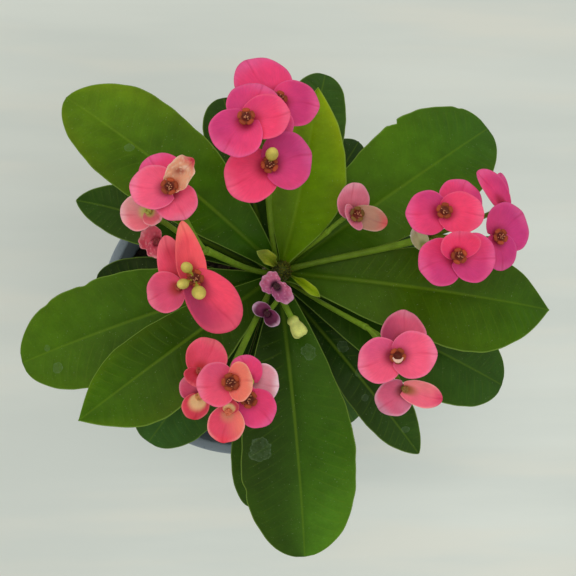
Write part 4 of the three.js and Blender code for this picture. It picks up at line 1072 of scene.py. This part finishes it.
def thornShape(root, way, reach, seed):
    # a cone along a line that bends a little downwards, with a sharp end
    share = np.linspace(0, 1, 9)[:, None]
    path = root + way * reach * share + np.array([0, 0, -0.06 * reach * math.sin(1.3 * seed)]) * share ** 2
    radii = thorn["radius"] * mix(1.0, 0.05, share ** 0.85) + 0.5 * bump(share - 0.12, 0.1)
    return tube(path, radii[:, 0], 8, mix(srgb(thorn["colour"]), srgb(thorn["point"]), share ** 2))


def tipScale(k):
    # a soft young thorn at the growing tip, reddish and still short
    share, part = np.linspace(0, 1, 6)[:, None], k / stem["tipScales"]
    azimuth = k * stem["divergence"] + 20
    way = heading(azimuth + 12 * math.sin(5 * k), mix(40, 74, part) + 12 * math.sin(3 * k))
    root = stemPoint(mix(*stem["scaleHeights"], part), azimuth, -0.8)
    path = root + way * (2.6 + 1.1 * math.sin(2.3 * k)) * share
    tones = mix(srgb(stem["scaleFoot"]), srgb(stem["scaleTip"]), share)
    return tube(path, mix(0.75, 0.06, share[:, 0]), 7, tones)


def stemShape():
    # rings along the stem's line, swelling and sinking, with a low hollowed mound at each leaf scar
    ends = stem["line"][0][2], stem["line"][-1][2]
    height = np.linspace(*ends, stem["rings"])
    turn = np.linspace(0, 360, stem["around"], endpoint=False)
    x, y, radius = stemAt(height)
    flat = heading(turn)[None]
    bare = np.stack([x, y, height], -1)[:, None] + flat * radius[:, None, None]
    swell = 0.35 * waves(bare, 16, 4) + 0.12 * waves(bare, 4, 5, 12)
    for _, scarHeight, azimuth in scars():
        up = height[:, None] - scarHeight
        out = np.radians((turn - azimuth + 180) % 360 - 180)[None] * radius[:, None]
        swell = swell + 0.75 * bump(up, 2.2) * bump(out, 3.2) - 0.6 * bump(up + 0.4, 0.8) * bump(out, 1.3)
    swell = (swell * fade(191, 186, height)[:, None])[..., None]
    green = fade(168, 186, height)[:, None, None] * 0.9
    tone = mix(srgb(stem["bark"]), srgb(stem["young"]), green)
    # painted light and shade: the tone is lighter on the swellings and mounds and darker in the hollows
    return loft(bare + flat * swell, tone * (1 + 0.25 * swell))


def barkFinish():
    f = Finish("rough bark")
    tall = f.add("Mapping", Vector=f.place(), Scale=(1.0, 1.0, 0.45))
    cracks = f.grain(420, 5, 0.65, tall)
    colour = f.scaled(f.known("tone", 0), f.mottled(120, 4, 0.8, 1.2))
    return f.done(
        Base_Color=f.blended(f.ranged(cracks, 0.42, 0.5, 0.6, 0), colour, stem["cracks"]),
        Roughness=0.82,
        Specular_IOR_Level=0.15,
        Normal=f.bumps(0.6, 0.0006, cracks),
    )


thorns = [thornShape(*row, k) for k, row in enumerate(thornList())]
barkShapes = [stemShape(), *thorns, *map(tipScale, range(stem["tipScales"]))]
addPiece("stem_bark", joined(barkShapes), barkFinish(), "stem")
print("stem made with", len(thorns), "thorns")


# the soil: an uneven mound with crumbs

soil = {
    "surface": 104, "edgeDrop": 3.2, "bumpHeight": 0.9, "bumpSize": 4.6, "rings": 64, "sides": 180,
    "crumbs": 1500, "crumbSize": (0.5, 2.0), "paleShare": 0.07,
    "colour": (52, 42, 32), "dark": (26, 20, 15), "crumb": (74, 58, 42), "pale": (128, 112, 90),
}


def soilTop(x, y, inner):
    # the same low waves as the plain solid with finer unevenness, dropping away at the pot's wall
    u, v = x / soil["bumpSize"], y / soil["bumpSize"]
    low = soil["bumpHeight"] * (np.sin(u + 1) * np.cos(v) + 0.6 * np.sin((u - 2 * v) / 2))
    flat = np.stack([x, y, 0 * x], -1)
    fine = 0.5 * waves(flat, 9, 21) + 0.35 * waves(flat, 3.5, 22, 16)
    return soil["surface"] + low + fine - soil["edgeDrop"] * fade(0.86, 1, np.hypot(x, y) / inner)


def lumps():
    # the corners and faces of a solid with twenty sides: each face joins three neighbouring corners
    golden = (1 + 5 ** 0.5) / 2
    corners = np.array([(a, b * golden, 0) for a in (-1, 1) for b in (-1, 1)])
    corners = unit(np.vstack([np.roll(corners, k, 1) for k in range(3)]))
    gaps = np.linalg.norm(corners[:, None] - corners[None], axis=-1)
    near = (gaps > 0.1) & (gaps < 1.2)
    trios = np.array([(a, b, c) for a in range(12) for b in range(a + 1, 12) for c in range(b + 1, 12)
                      if near[a, b] and near[b, c] and near[a, c]])
    a, b, c = (corners[trios[:, k]] for k in range(3))
    inwards = np.einsum("ij,ij->i", a, np.cross(b, c)) < 0
    trios[inwards] = trios[inwards][:, ::-1]
    return corners, trios


def crumbShape(inner):
    # lumps of seeded size, place and stretch
    corners, trios = lumps()
    rng = np.random.default_rng(31)
    count, each = soil["crumbs"], len(corners)
    away = (inner - 2.5) * np.sqrt(rng.uniform(0.0, 1, count))
    where = heading(rng.uniform(0, 360, count)) * away[:, None]
    size = mix(*soil["crumbSize"], rng.uniform(0, 1, count) ** 2.5)
    where[:, 2] = soilTop(where[:, 0], where[:, 1], inner) + 0.1 * size
    stretch = rng.uniform(0.6, 1.3, (count, 1, 3))
    rough = rng.uniform(0.8, 1.2, (count, each, 1))
    points = where[:, None] + corners[None] * rough * stretch * size[:, None, None]
    faces = (trios[None] + each * np.arange(count)[:, None, None]).reshape(-1, 3)
    pale = (rng.uniform(0, 1, count) > 1 - soil["paleShare"])[:, None]
    tones = np.where(pale, srgb(soil["pale"]), srgb(soil["crumb"])) * rng.uniform(0.45, 1.25, (count, 1))
    return shapeOf(points, [faces], np.repeat(tones, each, 0))


def soilShape():
    # rings from the middle out to the pot's wall, then down it to the pot's floor
    low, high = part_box("soil")
    inner, bottom = high.x / mm, low.z / mm
    foot = pot["footRadius"] - pot["wall"] - 1
    ring = circle(soil["sides"])[None]
    flat = np.linspace(0.03, 1, soil["rings"])[:, None, None] * inner * ring
    flat[..., 2] = soilTop(flat[..., 0], flat[..., 1], inner)
    ground = foot * ring + np.array([0, 0, bottom])
    rings = np.vstack([flat, mix(flat[-1:], ground, np.linspace(0, 1, 6)[1:, None, None])])
    return joined([loft(rings, srgb(soil["colour"])), crumbShape(inner)])


def soilFinish():
    f = Finish("potting mix")
    clods = f.grain(700, 6, 0.7)
    colour = f.scaled(f.known("tone", 0), f.ranged(clods, 0.3, 0.7, 0.6, 1.35, False))
    return f.done(
        Base_Color=f.blended(f.ranged(f.grain(160, 3), 0.4, 0.6, 0, 0.5), colour, soil["dark"]),
        Roughness=0.92,
        Specular_IOR_Level=0.2,
        Normal=f.bumps(0.8, 0.001, clods),
    )


addPiece("soil_mix", soilShape(), soilFinish(), "soil")
print("soil made")


# floor, light and camera

studio = {
    "floorSize": 4000, "floor": (223, 227, 216), "warm": (226, 226, 212), "shade": (214, 219, 209),
    "pool": (0.09, -0.07, 0), "poolReach": (0.05, 0.26), "poolLight": (1.15, 0.97),
    "sky": (0.96, 0.98, 1.0), "skyStrength": 0.60, "aim": (0.015, 0.005, 0.19),
}
lamps = {
    "key": {"at": (-0.6, 0.5, 1.6), "size": 1.8, "watts": 10, "colour": (1.0, 0.97, 0.92)},
    "fill": {"at": (0.8, -0.5, 1.4), "size": 1.6, "watts": 5, "colour": (0.94, 0.97, 1.0)},
}
view = {"at": (-22.896, -32.996, 561.302), "towards": (14.5, 4.4, 185), "frame": 36, "lens": 56.5625}


def floorFinish():
    # faint broad streaks along X, as on limed boards
    f = Finish("plain pale floor")
    place = f.add("Mapping", Vector=f.place(), Scale=(1.6, 11.0, 1.0))
    streaks = f.ranged(f.grain(1.6, 4, 0.5, place), 0.35, 0.65, 0, 1)
    warmth = f.ranged(f.grain(2.6, 3, 0.5, place), 0.45, 0.7, 0, 0.8)
    colour = f.blended(warmth, f.blended(streaks, studio["shade"], studio["floor"]), studio["warm"])
    # painted light: the floor is painted a little lighter round the plant, where the plant shades it, which
    # lifts that shadow
    away = f.add("VectorMath", 1, {"operation": "DISTANCE"}, i0=f.place(), i1=studio["pool"])
    light = f.ranged(away, *studio["poolReach"], *studio["poolLight"])
    return f.done(Base_Color=f.scaled(colour, light), Roughness=0.9, Specular_IOR_Level=0.1)


def makeStudio():
    corners = np.array([(-1, -1, 0), (1, -1, 0), (1, 1, 0), (-1, 1, 0)]) * studio["floorSize"] / 2
    mesh = meshOf("floor", corners, [np.arange(4)[None]])
    mesh.materials.append(floorFinish())
    linked("floor", mesh)
    world = bpy.data.worlds.new("soft sky")
    world.use_nodes = True
    sky = world.node_tree.nodes["Background"]
    sky.inputs["Color"].default_value = (*studio["sky"], 1)
    sky.inputs["Strength"].default_value = studio["skyStrength"]
    bpy.context.scene.world = world
    for name, row in lamps.items():
        lamp = bpy.data.lights.new(name, "AREA")
        lamp.size = row["size"]
        lamp.energy = row["watts"]
        lamp.color = row["colour"]
        holder = linked(name, lamp)
        holder.location = row["at"]
        towards = Vector(studio["aim"]) - holder.location
        holder.rotation_euler = towards.to_track_quat("-Z", "Y").to_euler()


def makeCamera():
    # looks almost straight down; the frame's right stays level with +X
    camera = bpy.data.cameras.new("camera")
    camera.sensor_width = view["frame"]
    camera.lens = view["lens"]
    camera.clip_start = 0.01
    at, towards = Vector(view["at"]) * mm, Vector(view["towards"]) * mm
    back = (at - towards).normalized()
    right = Vector((0, 1, 0)).cross(back).normalized()
    axes = Matrix((right, back.cross(right), back)).transposed()
    holder = linked("camera", camera)
    holder.matrix_world = Matrix.Translation(at) @ axes.to_4x4()
    bpy.context.scene.camera = holder


makeStudio()
makeCamera()
bpy.context.scene.view_settings.view_transform = "Standard"
print("studio made")
